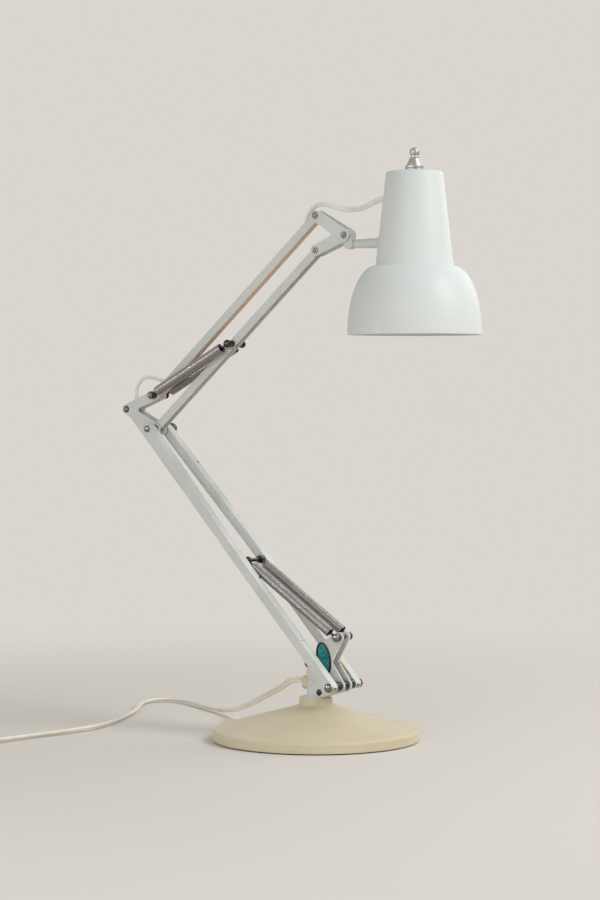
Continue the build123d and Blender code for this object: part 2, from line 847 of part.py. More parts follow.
# Knuckle, stem and its flange on the neck
stem_foot = in_plane(tilt_pivot.X + knuckle_foot_shift, stem_z)
knuckle = across(
    strap(tilt_pivot, knuckle_radius, stem_foot, knuckle_foot_radius), -knuckle_width / 2, knuckle_width / 2
)
along_x = Plane(origin=(0, 0, stem_z), x_dir=(0, 1, 0), z_dir=(1, 0, 0))
stub_reach = knuckle_foot_radius + spigot_stub_length
knuckle += extrude(along_x.offset(stem_foot.X) * Circle(spigot_stub_radius), amount=stub_reach)
knuckle -= pin(tilt_pivot, pin_radius + running_gap, -knuckle_width, knuckle_width)
write("tilt_knuckle", knuckle)


def neck_radius(z):
    share = (z - shade_crease_z) / (shade_top_z - shade_crease_z)
    return shade_crease_radius + (shade_top_radius - shade_crease_radius) * share


def neck_side(z):
    return shade_x - neck_radius(z)


stem_start = stem_foot.X + knuckle_foot_radius + stem_start_gap
stem_wall = neck_side(stem_z)
stem_end = stem_wall + shade_wall + stem_nut_length + face_gap
stem = extrude(along_x.offset(stem_start) * Circle(stem_radius), amount=stem_end - stem_start)
stem -= extrude(along_x.offset(stem_start) * Circle(stem_bore), amount=stem_end - stem_start)
write("shade_stem", stem)

shade_outer_neck = Plane.XZ * make_face(
    Polyline(
        (0, shade_crease_z),
        (shade_crease_radius, shade_crease_z),
        (shade_top_radius, shade_top_z),
        (0, shade_top_z),
        close=True,
    )
)
neck_solid = Pos(shade_x, 0, 0) * revolve(shade_outer_neck, axis=Axis.Z)
neck_solid = fillet(neck_solid.faces().sort_by(Axis.Z)[-1].edges(), shade_top_fillet)

flange_start = stem_wall - flange_length
flange_line = Polyline(
    (flange_start, stem_radius + running_gap),
    (stem_wall + flange_length, stem_radius + running_gap),
    (stem_wall + flange_length, flange_radius),
    (stem_wall - shade_wall, flange_radius),
    (flange_start, stem_radius + shade_wall),
    close=True,
)
flange = Pos(0, 0, stem_z) * revolve(Plane.XZ * make_face(flange_line), axis=Axis.X)
flange -= neck_solid
write("stem_flange", flange)


def bell_face(wall):
    start_radius = shade_crease_radius - wall
    height = shade_crease_z - shade_rim_z - wall
    spread = shade_rim_radius - wall - start_radius
    floor = shade_rim_z - (overrun if wall else 0)
    centre = (start_radius, shade_rim_z)
    curve = EllipticalCenterArc(centre, spread, height, start_angle=0, arc_size=quarter_turn)
    sides = Polyline(
        curve @ 1,
        (0, shade_rim_z + height),
        (0, floor),
        (shade_rim_radius - wall, floor),
        *([curve @ 0] if wall else []),
    )
    return make_face(curve.edges() + sides.edges())


bell = Pos(shade_x, 0, 0) * revolve(Plane.XZ * bell_face(0), axis=Axis.Z)
bell_inside = Pos(shade_x, 0, 0) * revolve(Plane.XZ * bell_face(shade_wall), axis=Axis.Z)
neck_inside_face = Plane.XZ * make_face(
    Polyline(
        (0, shade_crease_z - overrun),
        (shade_crease_radius - shade_wall, shade_crease_z - overrun),
        (shade_crease_radius - shade_wall, shade_crease_z),
        (shade_top_radius - shade_wall, shade_top_z - shade_wall),
        (0, shade_top_z - shade_wall),
        close=True,
    )
)
neck_inside = Pos(shade_x, 0, 0) * revolve(neck_inside_face, axis=Axis.Z)
shade = bell + neck_solid - bell_inside - neck_inside
shade -= extrude(along_x.offset(stem_start) * Circle(stem_radius + running_gap), amount=stem_end - stem_start)
shade -= Pos(shade_x, 0, shade_top_z) * Cylinder(bushing_radius + running_gap, shade_top_z - shade_rim_z)
hole_line = Plane(origin=(neck_side(cord_hole_z), 0, cord_hole_z), z_dir=(1, 0, 0))
shade -= extrude(hole_line * Circle(cord_hole_radius), amount=overrun, both=True)
write("shade", shade)

nut_start = neck_side(stem_z) + shade_wall + 2 * face_gap
stem_nut = extrude(along_x.offset(nut_start) * Circle(stem_nut_radius), amount=stem_nut_length)
stem_nut -= extrude(along_x.offset(nut_start) * Circle(stem_radius + running_gap), amount=stem_nut_length)
stem_nut -= shade
write("stem_nut", stem_nut)

# Grommet where the flex enters the neck
sleeve_radius = cord_width / 2 + soft_gap
cord_grommet = extrude(hole_line * Circle(cord_hole_radius - running_gap), amount=cord_grommet_lip, both=True)
cord_grommet += extrude(hole_line * Circle(cord_grommet_radius), amount=-cord_grommet_lip)
cord_grommet -= extrude(hole_line * Circle(sleeve_radius), amount=overrun, both=True)
cord_grommet -= shade
write("neck_grommet", cord_grommet.solids().sort_by(SortBy.VOLUME)[-1])

# Bulb, and the lamp holder bored to take its cap
holder_top = shade_top_z - shade_wall - holder_top_gap
contact_top = holder_top - holder_roof - holder_seat_gap
glass_top = contact_top - bulb_contact_height - bulb_cap_height
bulb_floor = glass_top - bulb_glass_height


def bulb_line(wall):
    return Spline(
        (0, bulb_floor + wall),
        (bulb_radius - wall, bulb_floor + bulb_ball_height),
        (bulb_neck_radius - wall, glass_top),
        tangents=[(1, 0), (0, 1), (0, 1)],
    )


bulb_outside = bulb_line(0)
bulb_inside = bulb_line(bulb_wall)
bulb_neck = Line(bulb_outside @ 1, bulb_inside @ 1)
bulb_tip = Line(bulb_inside @ 0, bulb_outside @ 0)
bulb_face = make_face(bulb_outside.edges() + bulb_neck.edges() + bulb_inside.edges() + bulb_tip.edges())
glass = Pos(shade_x, 0, 0) * revolve(Plane.XZ * bulb_face, axis=Axis.Z)
write("bulb_glass", glass)
cap = Pos(shade_x, 0, glass_top) * Cylinder(
    bulb_cap_radius, bulb_cap_height, align=(Align.CENTER, Align.CENTER, Align.MIN)
)
cap += Pos(shade_x, 0, contact_top) * Cylinder(
    bulb_contact_radius, bulb_contact_height, align=(Align.CENTER, Align.CENTER, Align.MAX)
)
write("bulb_cap", cap)

holder = Pos(shade_x, 0, holder_top) * Cylinder(
    holder_radius, holder_height, align=(Align.CENTER, Align.CENTER, Align.MAX)
)
holder = fillet(holder.faces().sort_by(Axis.Z)[-1].edges(), holder_wall)
holder -= Pos(shade_x, 0, holder_top - holder_roof) * Cylinder(
    bulb_cap_radius + holder_gap, holder_height, align=(Align.CENTER, Align.CENTER, Align.MAX)
)
holder -= Pos(shade_x, 0, holder_top) * Cylinder(bushing_radius + running_gap, holder_roof)
write("lamp_holder", holder)

# Switch: threaded bushing, stepped nut and the ball knob
bushing_top = shade_top_z + bushing_rise
bushing = Pos(shade_x, 0, holder_top - holder_roof * half_share) * Cylinder(
    bushing_radius,
    bushing_top - holder_top + holder_roof * half_share,
    align=(Align.CENTER, Align.CENTER, Align.MIN),
)
spindle_bore = switch_neck_radius * half_share
bushing -= Pos(shade_x, 0, bushing_top) * Cylinder(spindle_bore + running_gap, 2 * bushing_rise)
write("switch_bushing", bushing)

nut_line = Polyline(
    (bushing_radius + running_gap, 0),
    (switch_nut_radius, 0),
    (switch_nut_radius, switch_nut_height * half_share),
    (switch_step_radius, switch_nut_height * half_share),
    (switch_step_radius, switch_nut_height),
    (switch_cone_low_radius, switch_nut_height),
    (bushing_radius + running_gap + face_gap, bushing_rise),
    (bushing_radius + running_gap, bushing_rise),
    close=True,
)
switch_nut = Pos(shade_x, 0, shade_top_z) * revolve(Plane.XZ * make_face(nut_line), axis=Axis.Z)
write("switch_nut", switch_nut)

knob_floor = bushing_top + soft_gap
neck = Cylinder(switch_neck_radius, switch_neck_height, align=(Align.CENTER, Align.CENTER, Align.MIN))
ball = Cylinder(switch_ball_radius, switch_ball_height, align=(Align.CENTER, Align.CENTER, Align.MIN))
ball = fillet(ball.edges().filter_by(GeomType.CIRCLE), switch_ball_fillet)
spindle = Cylinder(spindle_bore, bushing_rise, align=(Align.CENTER, Align.CENTER, Align.MAX))
knob = Pos(shade_x, 0, knob_floor) * (neck + spindle + Pos(0, 0, switch_neck_height) * ball)
write("switch_knob", knob)

# Loops of flex at the elbow and at the head
flex = RectangleRounded(cord_width, cord_thickness, cord_thickness * edge_share)
tube_radius = cord_width / 2

elbow_loop = [lower_lead_end, lower_lead_end + lower_way * elbow_first_run]
elbow_loop += [tie_pivot + in_plane(x, z) for x, z in elbow_route]
elbow_loop += [upper_lead_start - upper_way * elbow_last_run, upper_lead_start]
write("elbow_cord_loop", routed("elbow loop", elbow_loop, flex))

neck_hole = in_plane(neck_side(cord_hole_z), cord_hole_z)
head_loop = [upper_lead_end, upper_lead_end + upper_way * head_first_run]
head_loop += [head_tie_pivot + in_plane(x, z) for x, z in head_route]
head_loop += [neck_hole - in_plane(head_last_run, 0), neck_hole + in_plane(shade_wall, 0)]
write("head_cord_loop", routed("head loop", head_loop, flex))

# Mains lead, its coil, tie and plug
last = Vector(*mains_route[-1])
coil_outer = coil_inner_radius + coil_turns * coil_pitch
coil_floor = coil_lift + tube_radius
coil_way = way_to(Vector(*mains_route[-2]), last)
coil_heading = math.atan2(-coil_way.X, -coil_way.Y)
all_turns = 2 * coil_turns + half_share


def coil_offset(turn):
    if turn <= coil_turns:
        radius = coil_outer - coil_pitch * turn
        layer = 0
    elif turn <= coil_turns + half_share:
        part = (turn - coil_turns) / half_share
        radius = coil_inner_radius + coil_pitch * half_share * (part * part - part)
        layer = part * part * (3 - 2 * part)
    else:
        radius = coil_inner_radius + coil_pitch * (turn - coil_turns - half_share)
        layer = 1
    angle = -2 * math.pi * turn - coil_heading
    return Vector(radius * math.cos(angle), radius * math.sin(angle), layer * coil_layer_rise)


coil_start = Vector(last.X, last.Y, coil_floor) - coil_offset(0)


def coil_place(turn):
    return coil_start + coil_offset(turn)


coil, coil_in, coil_in_way, coil_out, coil_out_way = wound(
    coil_place, all_turns, 4, tube_radius, cord_width, tail_length
)
print("coil least gap", round(least_gap(coil_place, all_turns, tube_radius), 2))
write("mains_coil", coil)
mains_points = mains_route[:-1] + [coil_in - coil_in_way * mains_last_run, coil_in]
write("mains_cord", routed("mains lead", mains_points, Circle(tube_radius)))

tie_centre = coil_start + Vector(0, -(coil_outer + coil_inner_radius) / 2, 0)
bundle_width = coil_outer - coil_inner_radius + coil_pitch + cord_width + 2 * tie_slack
bundle_height = cord_width + coil_layer_rise + 2 * tie_slack
tie = Box(tie_width, bundle_width + 2 * tie_thickness, bundle_height + 2 * tie_thickness)
tie -= Box(tie_width, bundle_width, bundle_height)
tie = fillet(tie.edges().filter_by(Axis.X), tie_thickness * edge_share)
tie = Pos(tie_centre.X, tie_centre.Y, coil_floor + coil_layer_rise / 2) * tie
write("coil_tie", tie)

plug_plane = Plane(origin=coil_out, x_dir=(0, 0, 1), z_dir=coil_out_way)
sleeve_tip = plug_plane * Circle(plug_sleeve_tip_radius)
sleeve = loft([sleeve_tip, plug_plane.offset(plug_sleeve_length) * Circle(plug_sleeve_radius)])
body = extrude(
    plug_plane.offset(plug_sleeve_length)
    * RectangleRounded(plug_body_height, plug_body_width, plug_body_fillet),
    amount=plug_length_body,
)
write("mains_plug", sleeve + body)
blades = []
for side in (-1, 1):
    face = plug_plane.offset(plug_sleeve_length + plug_length_body)
    spot = Pos(0, side * blade_spacing / 2) * Rectangle(blade_width, blade_thickness)
    blades.append(extrude(face * spot, amount=blade_length))
write("plug_blades", *blades)
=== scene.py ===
import bpy
import json
import math
from mathutils import Matrix, Vector


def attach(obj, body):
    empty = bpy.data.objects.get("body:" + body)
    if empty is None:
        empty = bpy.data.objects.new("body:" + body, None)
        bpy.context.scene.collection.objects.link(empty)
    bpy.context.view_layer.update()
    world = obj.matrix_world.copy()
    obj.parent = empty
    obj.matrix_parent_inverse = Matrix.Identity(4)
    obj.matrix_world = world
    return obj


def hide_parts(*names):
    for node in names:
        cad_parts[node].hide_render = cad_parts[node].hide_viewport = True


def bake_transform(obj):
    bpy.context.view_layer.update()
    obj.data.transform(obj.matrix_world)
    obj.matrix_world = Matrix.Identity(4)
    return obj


# Spring-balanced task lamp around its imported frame. Sizes are in millimetres, and mm turns them to metres.
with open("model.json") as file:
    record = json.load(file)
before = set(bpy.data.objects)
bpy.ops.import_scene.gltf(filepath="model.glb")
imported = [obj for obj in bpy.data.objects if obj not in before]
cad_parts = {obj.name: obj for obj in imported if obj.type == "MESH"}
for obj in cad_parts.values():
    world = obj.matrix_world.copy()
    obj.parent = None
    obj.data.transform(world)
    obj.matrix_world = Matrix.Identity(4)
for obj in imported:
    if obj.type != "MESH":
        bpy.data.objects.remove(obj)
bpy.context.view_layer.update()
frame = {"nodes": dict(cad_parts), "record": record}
mm = 0.001
print("frame loaded:", len(frame["nodes"]), "nodes")


def linear(hexCode):
    channels = [int(hexCode[i:i + 2], 16) / 255 for i in (1, 3, 5)]
    return (*[c / 12.92 if c <= 0.04045 else ((c + 0.055) / 1.055) ** 2.4 for c in channels], 1)


def addNode(tree, kind, settings, links=()):
    node = tree.nodes.new(kind)
    for key, value in settings.items():
        if isinstance(key, str) and hasattr(node, key):
            setattr(node, key, value)
        else:
            node.inputs[key].default_value = value
    for key, source in dict(links).items():
        tree.links.new(source, node.inputs[key])
    return node


def startMaterial(name, settings):
    material = bpy.data.materials.new(name)
    material.use_nodes = True
    tree = material.node_tree
    shader = tree.nodes["Principled BSDF"]
    for key, value in settings.items():
        shader.inputs[key].default_value = value
    place = addNode(tree, "ShaderNodeTexCoord", {}).outputs["Object"]
    return material, tree, shader, place


# One for rays that bring the eye a picture, straight or by way of a mirror or glass
def seenRays(tree):
    kinds = addNode(tree, "ShaderNodeLightPath", {}).outputs
    mirrored = addNode(tree, "ShaderNodeMath", {"operation": "MAXIMUM"},
                       {0: kinds["Is Glossy Ray"], 1: kinds["Is Transmission Ray"]})
    return addNode(tree, "ShaderNodeMath", {"operation": "MAXIMUM"},
                   {0: kinds["Is Camera Ray"], 1: mirrored.outputs[0]}).outputs[0]


def clearBench():
    if bpy.context.object and bpy.context.object.mode != "OBJECT":
        bpy.ops.object.mode_set(mode="OBJECT")
    bpy.ops.object.select_all(action="DESELECT")


def selectOnly(piece):
    clearBench()
    piece.select_set(True)
    bpy.context.view_layer.objects.active = piece


def faceOutward():
    bpy.ops.object.mode_set(mode="EDIT")
    bpy.ops.mesh.select_all(action="SELECT")
    bpy.ops.mesh.normals_make_consistent(inside=False)
    bpy.ops.object.mode_set(mode="OBJECT")


# Camera and lights come first, then the cords
cameraLook = {
    "azimuth": 34, "place": (1328.7, -1997.5, 349.5), "lens": 98.84, "sensor": 36, "shift": -0.0778,
    "clipEnd": 200}

cameraData = bpy.data.cameras.new("photoCamera")
cameraData.sensor_fit = "VERTICAL"
cameraData.sensor_height = cameraLook["sensor"]
cameraData.lens = cameraLook["lens"]
cameraData.shift_y = cameraLook["shift"]
cameraData.clip_end = cameraLook["clipEnd"]
camera = bpy.data.objects.new("photoCamera", cameraData)
camera.location = Vector(cameraLook["place"]) * mm
camera.rotation_euler = (math.pi / 2, 0, math.radians(cameraLook["azimuth"]))
bpy.context.scene.collection.objects.link(camera)
bpy.context.scene.camera = camera
bpy.context.scene.view_settings.view_transform = "Standard"

# The side lamp shows in gloss alone, as a reflector card would, and gives the springs their streak
studio = {
    "key": {"place": (1800, 120, 1560), "size": 900, "power": 23},
    "fill": {"place": (100, -2200, 900), "size": 1200, "power": 10.5},
    "side": {"place": (-1080, -1573, 490), "size": 250, "power": 6},
    "rear": {"place": (400, 1600, 1400), "size": 1500, "power": 10},
    "aim": (-20, 0, 300), "world": "#dedbd6", "worldStrength": 0.5, "paper": "#dad6cf", "floor": "#e6e2db",
}
for lampName in ("key", "fill", "side", "rear"):
    lampLook = studio[lampName]
    lampData = bpy.data.lights.new(lampName + "Light", "AREA")
    lampData.size = lampLook["size"] * mm
    lampData.energy = lampLook["power"]
    lamp = bpy.data.objects.new(lampName + "Light", lampData)
    lamp.location = Vector(lampLook["place"]) * mm
    lamp.rotation_euler = (Vector(studio["aim"]) * mm - lamp.location).to_track_quat("-Z", "Y").to_euler()
    lamp.visible_diffuse = lampName != "side"
    bpy.context.scene.collection.objects.link(lamp)

# The room lights the lamp softly, and the eye, the bare metal and the glass see plain paper behind it
world = bpy.data.worlds.new("studioWorld")
bpy.context.scene.world = world
world.use_nodes = True
worldTree = world.node_tree
roomLight = worldTree.nodes["Background"]
roomLight.inputs["Color"].default_value = linear(studio["world"])
roomLight.inputs["Strength"].default_value = studio["worldStrength"]
paperBack = addNode(worldTree, "ShaderNodeBackground", {"Color": linear(studio["paper"]), "Strength": 1})
roomMix = addNode(worldTree, "ShaderNodeMixShader", {},
                  {0: seenRays(worldTree), 1: roomLight.outputs[0], 2: paperBack.outputs[0]})
worldTree.links.new(roomMix.outputs[0], worldTree.nodes["World Output"].inputs["Surface"])
print("camera and lights set")

# One flat twin flex: two round lobes with a groove each side
flexLook = {"lobe": 1.5, "neckAngle": 150, "lobeSteps": 11, "routeSteps": 6, "routeOrder": 3}


def flexSection():
    lobe = flexLook["lobe"]
    steps = flexLook["lobeSteps"] - 1
    turns = [math.radians(flexLook["neckAngle"] * (2 * i / steps - 1)) for i in range(steps + 1)]
    right = [(lobe + lobe * math.cos(a), lobe * math.sin(a)) for a in turns]
    left = [(-x, -y) for x, y in right]
    return right + left


def smoothRoute(points):
    curve = bpy.data.curves.new("routeLine", "CURVE")
    curve.dimensions = "3D"
    curve.resolution_u = flexLook["routeSteps"]
    spline = curve.splines.new("NURBS")
    spline.points.add(len(points) - 1)
    for point, place in zip(spline.points, points):
        point.co = (*(Vector(place) * mm), 1)
    spline.order_u = flexLook["routeOrder"]
    spline.use_endpoint_u = True
    line = bpy.data.objects.new("routeLine", curve)
    bpy.context.scene.collection.objects.link(line)
    bpy.context.view_layer.update()
    mesh = bpy.data.meshes.new_from_object(line.evaluated_get(bpy.context.evaluated_depsgraph_get()))
    path = [vertex.co.copy() for vertex in mesh.vertices]
    bpy.data.meshes.remove(mesh)
    bpy.data.objects.remove(line)
    return path


def layFlex(name, path, tilts, side=None):
    # tilts: (share of the length, degrees the flat face is turned up from level)
    section = [(x * mm, y * mm) for x, y in flexSection()]
    along = [0]
    for a, b in zip(path, path[1:]):
        along.append(along[-1] + (b - a).length)
    vertices = []
    for index, point in enumerate(path):
        way = (path[min(index + 1, len(path) - 1)] - path[max(index - 1, 0)]).normalized()
        wide = Vector(side) if side else Vector((0, 0, 1)).cross(way).normalized()
        share = along[index] / along[-1]
        turn = tilts[-1][1]
        for (s0, t0), (s1, t1) in zip(tilts, tilts[1:]):
            if share <= s1:
                part = max(0, min(1, (share - s0) / (s1 - s0)))
                turn = t0 + (t1 - t0) * part * part * (3 - 2 * part)
                break
        wide = Matrix.Rotation(math.radians(turn), 3, way) @ wide
        thin = way.cross(wide).normalized()
        vertices += [point + wide * x + thin * y for x, y in section]
    count = len(section)
    faces = [list(range(count - 1, -1, -1)), list(range((len(path) - 1) * count, len(path) * count))]
    for ring in range(0, (len(path) - 1) * count, count):
        for i in range(count):
            nextOne = (i + 1) % count
            faces.append([ring + i, ring + nextOne, ring + count + nextOne, ring + count + i])
    mesh = bpy.data.meshes.new(name)
    mesh.from_pydata(vertices, [], faces)
    piece = bpy.data.objects.new(name, mesh)
    bpy.context.scene.collection.objects.link(piece)
    selectOnly(piece)
    faceOutward()
    bpy.ops.object.shade_smooth()
    return piece


# Mains lead: the route from the grommet, the tied coil and the tail into the plug. The coil winds in, crosses
# over itself and winds out again on top
mains = {
    "route": [
        (-15, 0, 57.6), (-28, 0, 57.6), (-48, 10, 46.5), (-82, 33, 34), (-116, 58, 20.8), (-149, 80, 10),
        (-181, 98, 4), (-212, 114, 3.2), (-242, 133, 3.2), (-268, 146, 3.2), (-288, 146, 3.2),
        (-300, 132, 3.2), (-298, 112, 3.2), (-285, 88, 3.2), (-266, 59, 3.2), (-246, 16, 3.2),
        (-227, -30, 3.2), (-218.5, -76, 3.2), (-227, -118, 3.2), (-236, -160, 3.4)],
    "coilPoint": (-241, -214, 4.2), "innerRadius": 26, "pitch": 6.6, "rise": 6.6, "turns": 2.5,
    "crossing": 0.5, "lead": 22, "straight": 6, "tail": 16, "pointsPerTurn": 14, "nudge": 0.001,
    "tilts": [(0, 70), (0.05, 60), (0.12, 35), (0.22, 10), (0.3, 50), (0.36, 20), (0.4, 0), (1, 0)],
}
lastPoint = Vector(mains["coilPoint"])
coilWay = (lastPoint - Vector(mains["route"][-1])).normalized()
coilHeading = math.atan2(-coilWay.x, -coilWay.y)
coilOuter = mains["innerRadius"] + mains["turns"] * mains["pitch"]
allTurns = 2 * mains["turns"] + mains["crossing"]


def coilOffset(turn):
    reverse, cross, inner, pitch = (mains[key] for key in ("turns", "crossing", "innerRadius", "pitch"))
    part = min(1, max(0, (turn - reverse) / cross))
    radius = coilOuter - pitch * turn if turn <= reverse else inner + pitch * cross * (part * part - part)
    if turn > reverse + cross:
        radius = inner + pitch * (turn - reverse - cross)
    angle = -2 * math.pi * turn - coilHeading
    lift = part * part * (3 - 2 * part) * mains["rise"]
    return Vector((radius * math.cos(angle), radius * math.sin(angle), lift))


coilStart = lastPoint - coilOffset(0)
coilCount = round(allTurns * mains["pointsPerTurn"])
coilPoints = [coilStart + coilOffset(allTurns * i / coilCount) for i in range(coilCount + 1)]
coilInWay = (coilStart + coilOffset(mains["nudge"]) - coilPoints[0]).normalized()
coilOutWay = (coilPoints[-1] - coilStart - coilOffset(allTurns - mains["nudge"])).normalized()
mainsPoints = list(mains["route"]) + [coilPoints[0] - coilInWay * (mains["lead"] + mains["straight"])]
mainsPoints += [coilPoints[0] - coilInWay * mains["straight"]] + coilPoints
mainsPoints += [coilPoints[-1] + coilOutWay * mains["tail"]]
mainsPath = smoothRoute(mainsPoints)
mainsLead = layFlex("mainsLead", mainsPath, mains["tilts"])
mainsLength = sum((b - a).length for a, b in zip(mainsPath, mainsPath[1:]))
print("mains lead length", round(mainsLength, 3))


# Flex inside the bars and its two loops, all flat across the arms
leadLook = {
    "lower": [(-28.3, 0, 99.2), (-116, 0, 195.7), (-205.7, 0, 294.1)],
    "upper": [(-165.5, 0, 355.6), (-93, 0, 420.5), (-21.1, 0, 485)],
    "elbow": [
        (-205.7, 0, 294.1), (-213.8, 0, 303), (-219.5, 0, 316), (-220, 0, 331), (-219, 0, 344),
        (-209.5, 0, 352.6), (-196, 0, 352.2), (-184, 0, 348), (-173, 0, 348.9), (-165.5, 0, 355.6)],
    "head": [
        (-21.1, 0, 485), (-15.2, 0, 490.3), (-11.6, 0, 500.5), (-9.2, 0, 512.2), (0.4, 0, 519.4),
        (11.6, 0, 520.2), (23.4, 0, 516.6), (35, 0, 513.6), (46.6, 0, 513.2), (57, 0, 515.4),
        (65.6, 0, 519.2), (73.4, 0, 522), (83.6, 0, 522)],
    "flat": [(0, 0), (1, 0)], "elbowTwist": [(0, 0), (0.15, 0), (0.5, 28), (0.85, 0), (1, 0)],
    "headTwist": [(0, 0), (0.08, 0), (0.3, 35), (0.65, 55), (1, 80)], "crown": 6,
}
lowerLead = layFlex("lowerLead", smoothRoute(leadLook["lower"]), leadLook["flat"], (0, 1, 0))
upperLead = layFlex("upperLead", smoothRoute(leadLook["upper"]), leadLook["flat"], (0, 1, 0))
elbowLoop = layFlex("elbowLoop", smoothRoute(leadLook["elbow"]), leadLook["elbowTwist"], (0, 1, 0))
headLoop = layFlex("headLoop", smoothRoute(leadLook["head"]), leadLook["headTwist"], (0, 1, 0))

# The head's flex crosses two joints, so it is parted at the crown of its loop
bpy.ops.object.mode_set(mode="EDIT")
bpy.ops.mesh.select_mode(type="FACE")
bpy.ops.mesh.select_all(action="DESELECT")
bpy.ops.object.mode_set(mode="OBJECT")
for face in headLoop.data.polygons:
    face.select = face.center.x > leadLook["crown"] * mm
bpy.ops.object.mode_set(mode="EDIT")
bpy.ops.mesh.separate(type="SELECTED")
bpy.ops.object.mode_set(mode="OBJECT")
headReach = next(piece for piece in bpy.context.selected_objects if piece != headLoop)
headReach.name = "headReach"
print("flex laid")


# Ochre primer where the enamel was scraped off, inside an oval set by its middle, turn and reach
def primerStreak(tree, place, colour, look):
    oval = addNode(tree, "ShaderNodeMapping", {
        "vector_type": "TEXTURE", "Location": Vector(look["middle"]) * mm,
        "Scale": Vector(look["reach"]) * mm, "Rotation": (0, math.radians(look["turn"]), 0)},
        {"Vector": place})
    ball = addNode(tree, "ShaderNodeTexGradient", {"gradient_type": "SPHERICAL"}, {"Vector": oval.outputs[0]})
    ragged = addNode(tree, "ShaderNodeTexNoise", {"Scale": 1 / (look["ragged"] * mm), "Detail": 4},
                     {"Vector": place})
    edge = addNode(tree, "ShaderNodeMath", {"operation": "MULTIPLY"},
                   {0: ball.outputs["Fac"], 1: ragged.outputs["Fac"]})
    bare = addNode(tree, "ShaderNodeMapRange", {"From Min": look["edgeStart"], "From Max": look["edgeEnd"]},
                   {"Value": edge.outputs[0]})
    return addNode(tree, "ShaderNodeMix", {"data_type": "RGBA", 7: linear(look["colour"])},
                   {0: bare.outputs["Result"], 6: colour}).outputs[2]


# Stoved enamel on metal: tone drift, faint orange peel, a dust-coloured darkening put into corners by ambient
# occlusion, which is painted corner shade as well as dust, and small chips down to dark primer.
# The orange peel is drawn a little coarser than real, to show at this size
paintTraits = {
    "driftStart": 0.35, "driftEnd": 0.7, "dustAndShadeStart": 0.8, "dustAndShadeEnd": 0.2, "chipRagged": 1.6,
    "chipShake": 0.0012, "chipDepth": -0.6, "peelHeight": 0.12, "glossier": 0.06, "duller": 0.1,
    "coatRoughness": 0.12}


def paintFinish(name, look):
    rough = look["roughness"]
    material, tree, shader, place = startMaterial(name, {
        "Coat Weight": look["coat"], "Coat Roughness": paintTraits["coatRoughness"]})
    drift = addNode(tree, "ShaderNodeTexNoise", {"Scale": 1 / (look["driftSize"] * mm), "Detail": 4},
                    {"Vector": place})
    driftSpan = addNode(tree, "ShaderNodeMapRange",
                        {"From Min": paintTraits["driftStart"], "From Max": paintTraits["driftEnd"]},
                        {"Value": drift.outputs["Fac"]})
    tone = addNode(tree, "ShaderNodeMix",
                   {"data_type": "RGBA", 6: linear(look["colour"]), 7: linear(look["aged"])},
                   {0: driftSpan.outputs["Result"]})
    # Ambient occlusion: the enamel darkens towards the dust colour where other surfaces are near, painted
    # shade in the corners
    corner = addNode(tree, "ShaderNodeAmbientOcclusion", {"Distance": look["dustAndShadeReach"] * mm, "samples": 16})
    dustAndShade = addNode(tree, "ShaderNodeMapRange", {
        "From Min": paintTraits["dustAndShadeStart"], "From Max": paintTraits["dustAndShadeEnd"],
        "To Max": look["dustAndShadeAmount"]}, {"Value": corner.outputs["AO"]})
    dustyAndShaded = addNode(tree, "ShaderNodeMix", {"data_type": "RGBA", 7: linear(look["dustAndShade"])},
                    {0: dustAndShade.outputs["Result"], 6: tone.outputs[2]})
    ragged = addNode(tree, "ShaderNodeTexNoise", {"Scale": 1 / (paintTraits["chipRagged"] * mm), "Detail": 2},
                     {"Vector": place})
    shaken = addNode(tree, "ShaderNodeMix", {"data_type": "VECTOR", 0: paintTraits["chipShake"]},
                     {4: place, 5: ragged.outputs["Color"]})
    cells = addNode(tree, "ShaderNodeTexVoronoi", {"Scale": 1 / (look["chipSpacing"] * mm)},
                    {"Vector": shaken.outputs[1]})
    chance = addNode(tree, "ShaderNodeSeparateColor", {}, {0: cells.outputs["Color"]})
    chipSpan = addNode(tree, "ShaderNodeMapRange",
                       {"From Min": 1 - look["chipChance"], "To Max": look["chipSize"] / look["chipSpacing"]},
                       {"Value": chance.outputs[0]})
    chip = addNode(tree, "ShaderNodeMath", {"operation": "LESS_THAN"},
                   {0: cells.outputs["Distance"], 1: chipSpan.outputs["Result"]})
    chipped = addNode(tree, "ShaderNodeMix", {"data_type": "RGBA", 7: linear(look["chip"])},
                      {0: chip.outputs[0], 6: dustyAndShaded.outputs[2]})
    colour = chipped.outputs[2]
    if "streak" in look:
        colour = primerStreak(tree, place, colour, look["streak"])
    tree.links.new(colour, shader.inputs["Base Color"])
    peel = addNode(tree, "ShaderNodeTexNoise", {"Scale": 1 / (look["peelSize"] * mm), "Detail": 1},
                   {"Vector": place})
    relief = addNode(tree, "ShaderNodeMath", {"operation": "MULTIPLY_ADD", 1: paintTraits["chipDepth"]},
                     {0: chip.outputs[0], 2: peel.outputs["Fac"]})
    bump = addNode(tree, "ShaderNodeBump",
                   {"Strength": look["peel"], "Distance": paintTraits["peelHeight"] * mm},
                   {"Height": relief.outputs[0]})
    tree.links.new(bump.outputs["Normal"], shader.inputs["Normal"])
    gloss = addNode(tree, "ShaderNodeMapRange",
                    {"To Min": rough - paintTraits["glossier"], "To Max": rough + paintTraits["duller"]},
                    {"Value": drift.outputs["Fac"]})
    tree.links.new(gloss.outputs["Result"], shader.inputs["Roughness"])
    return material
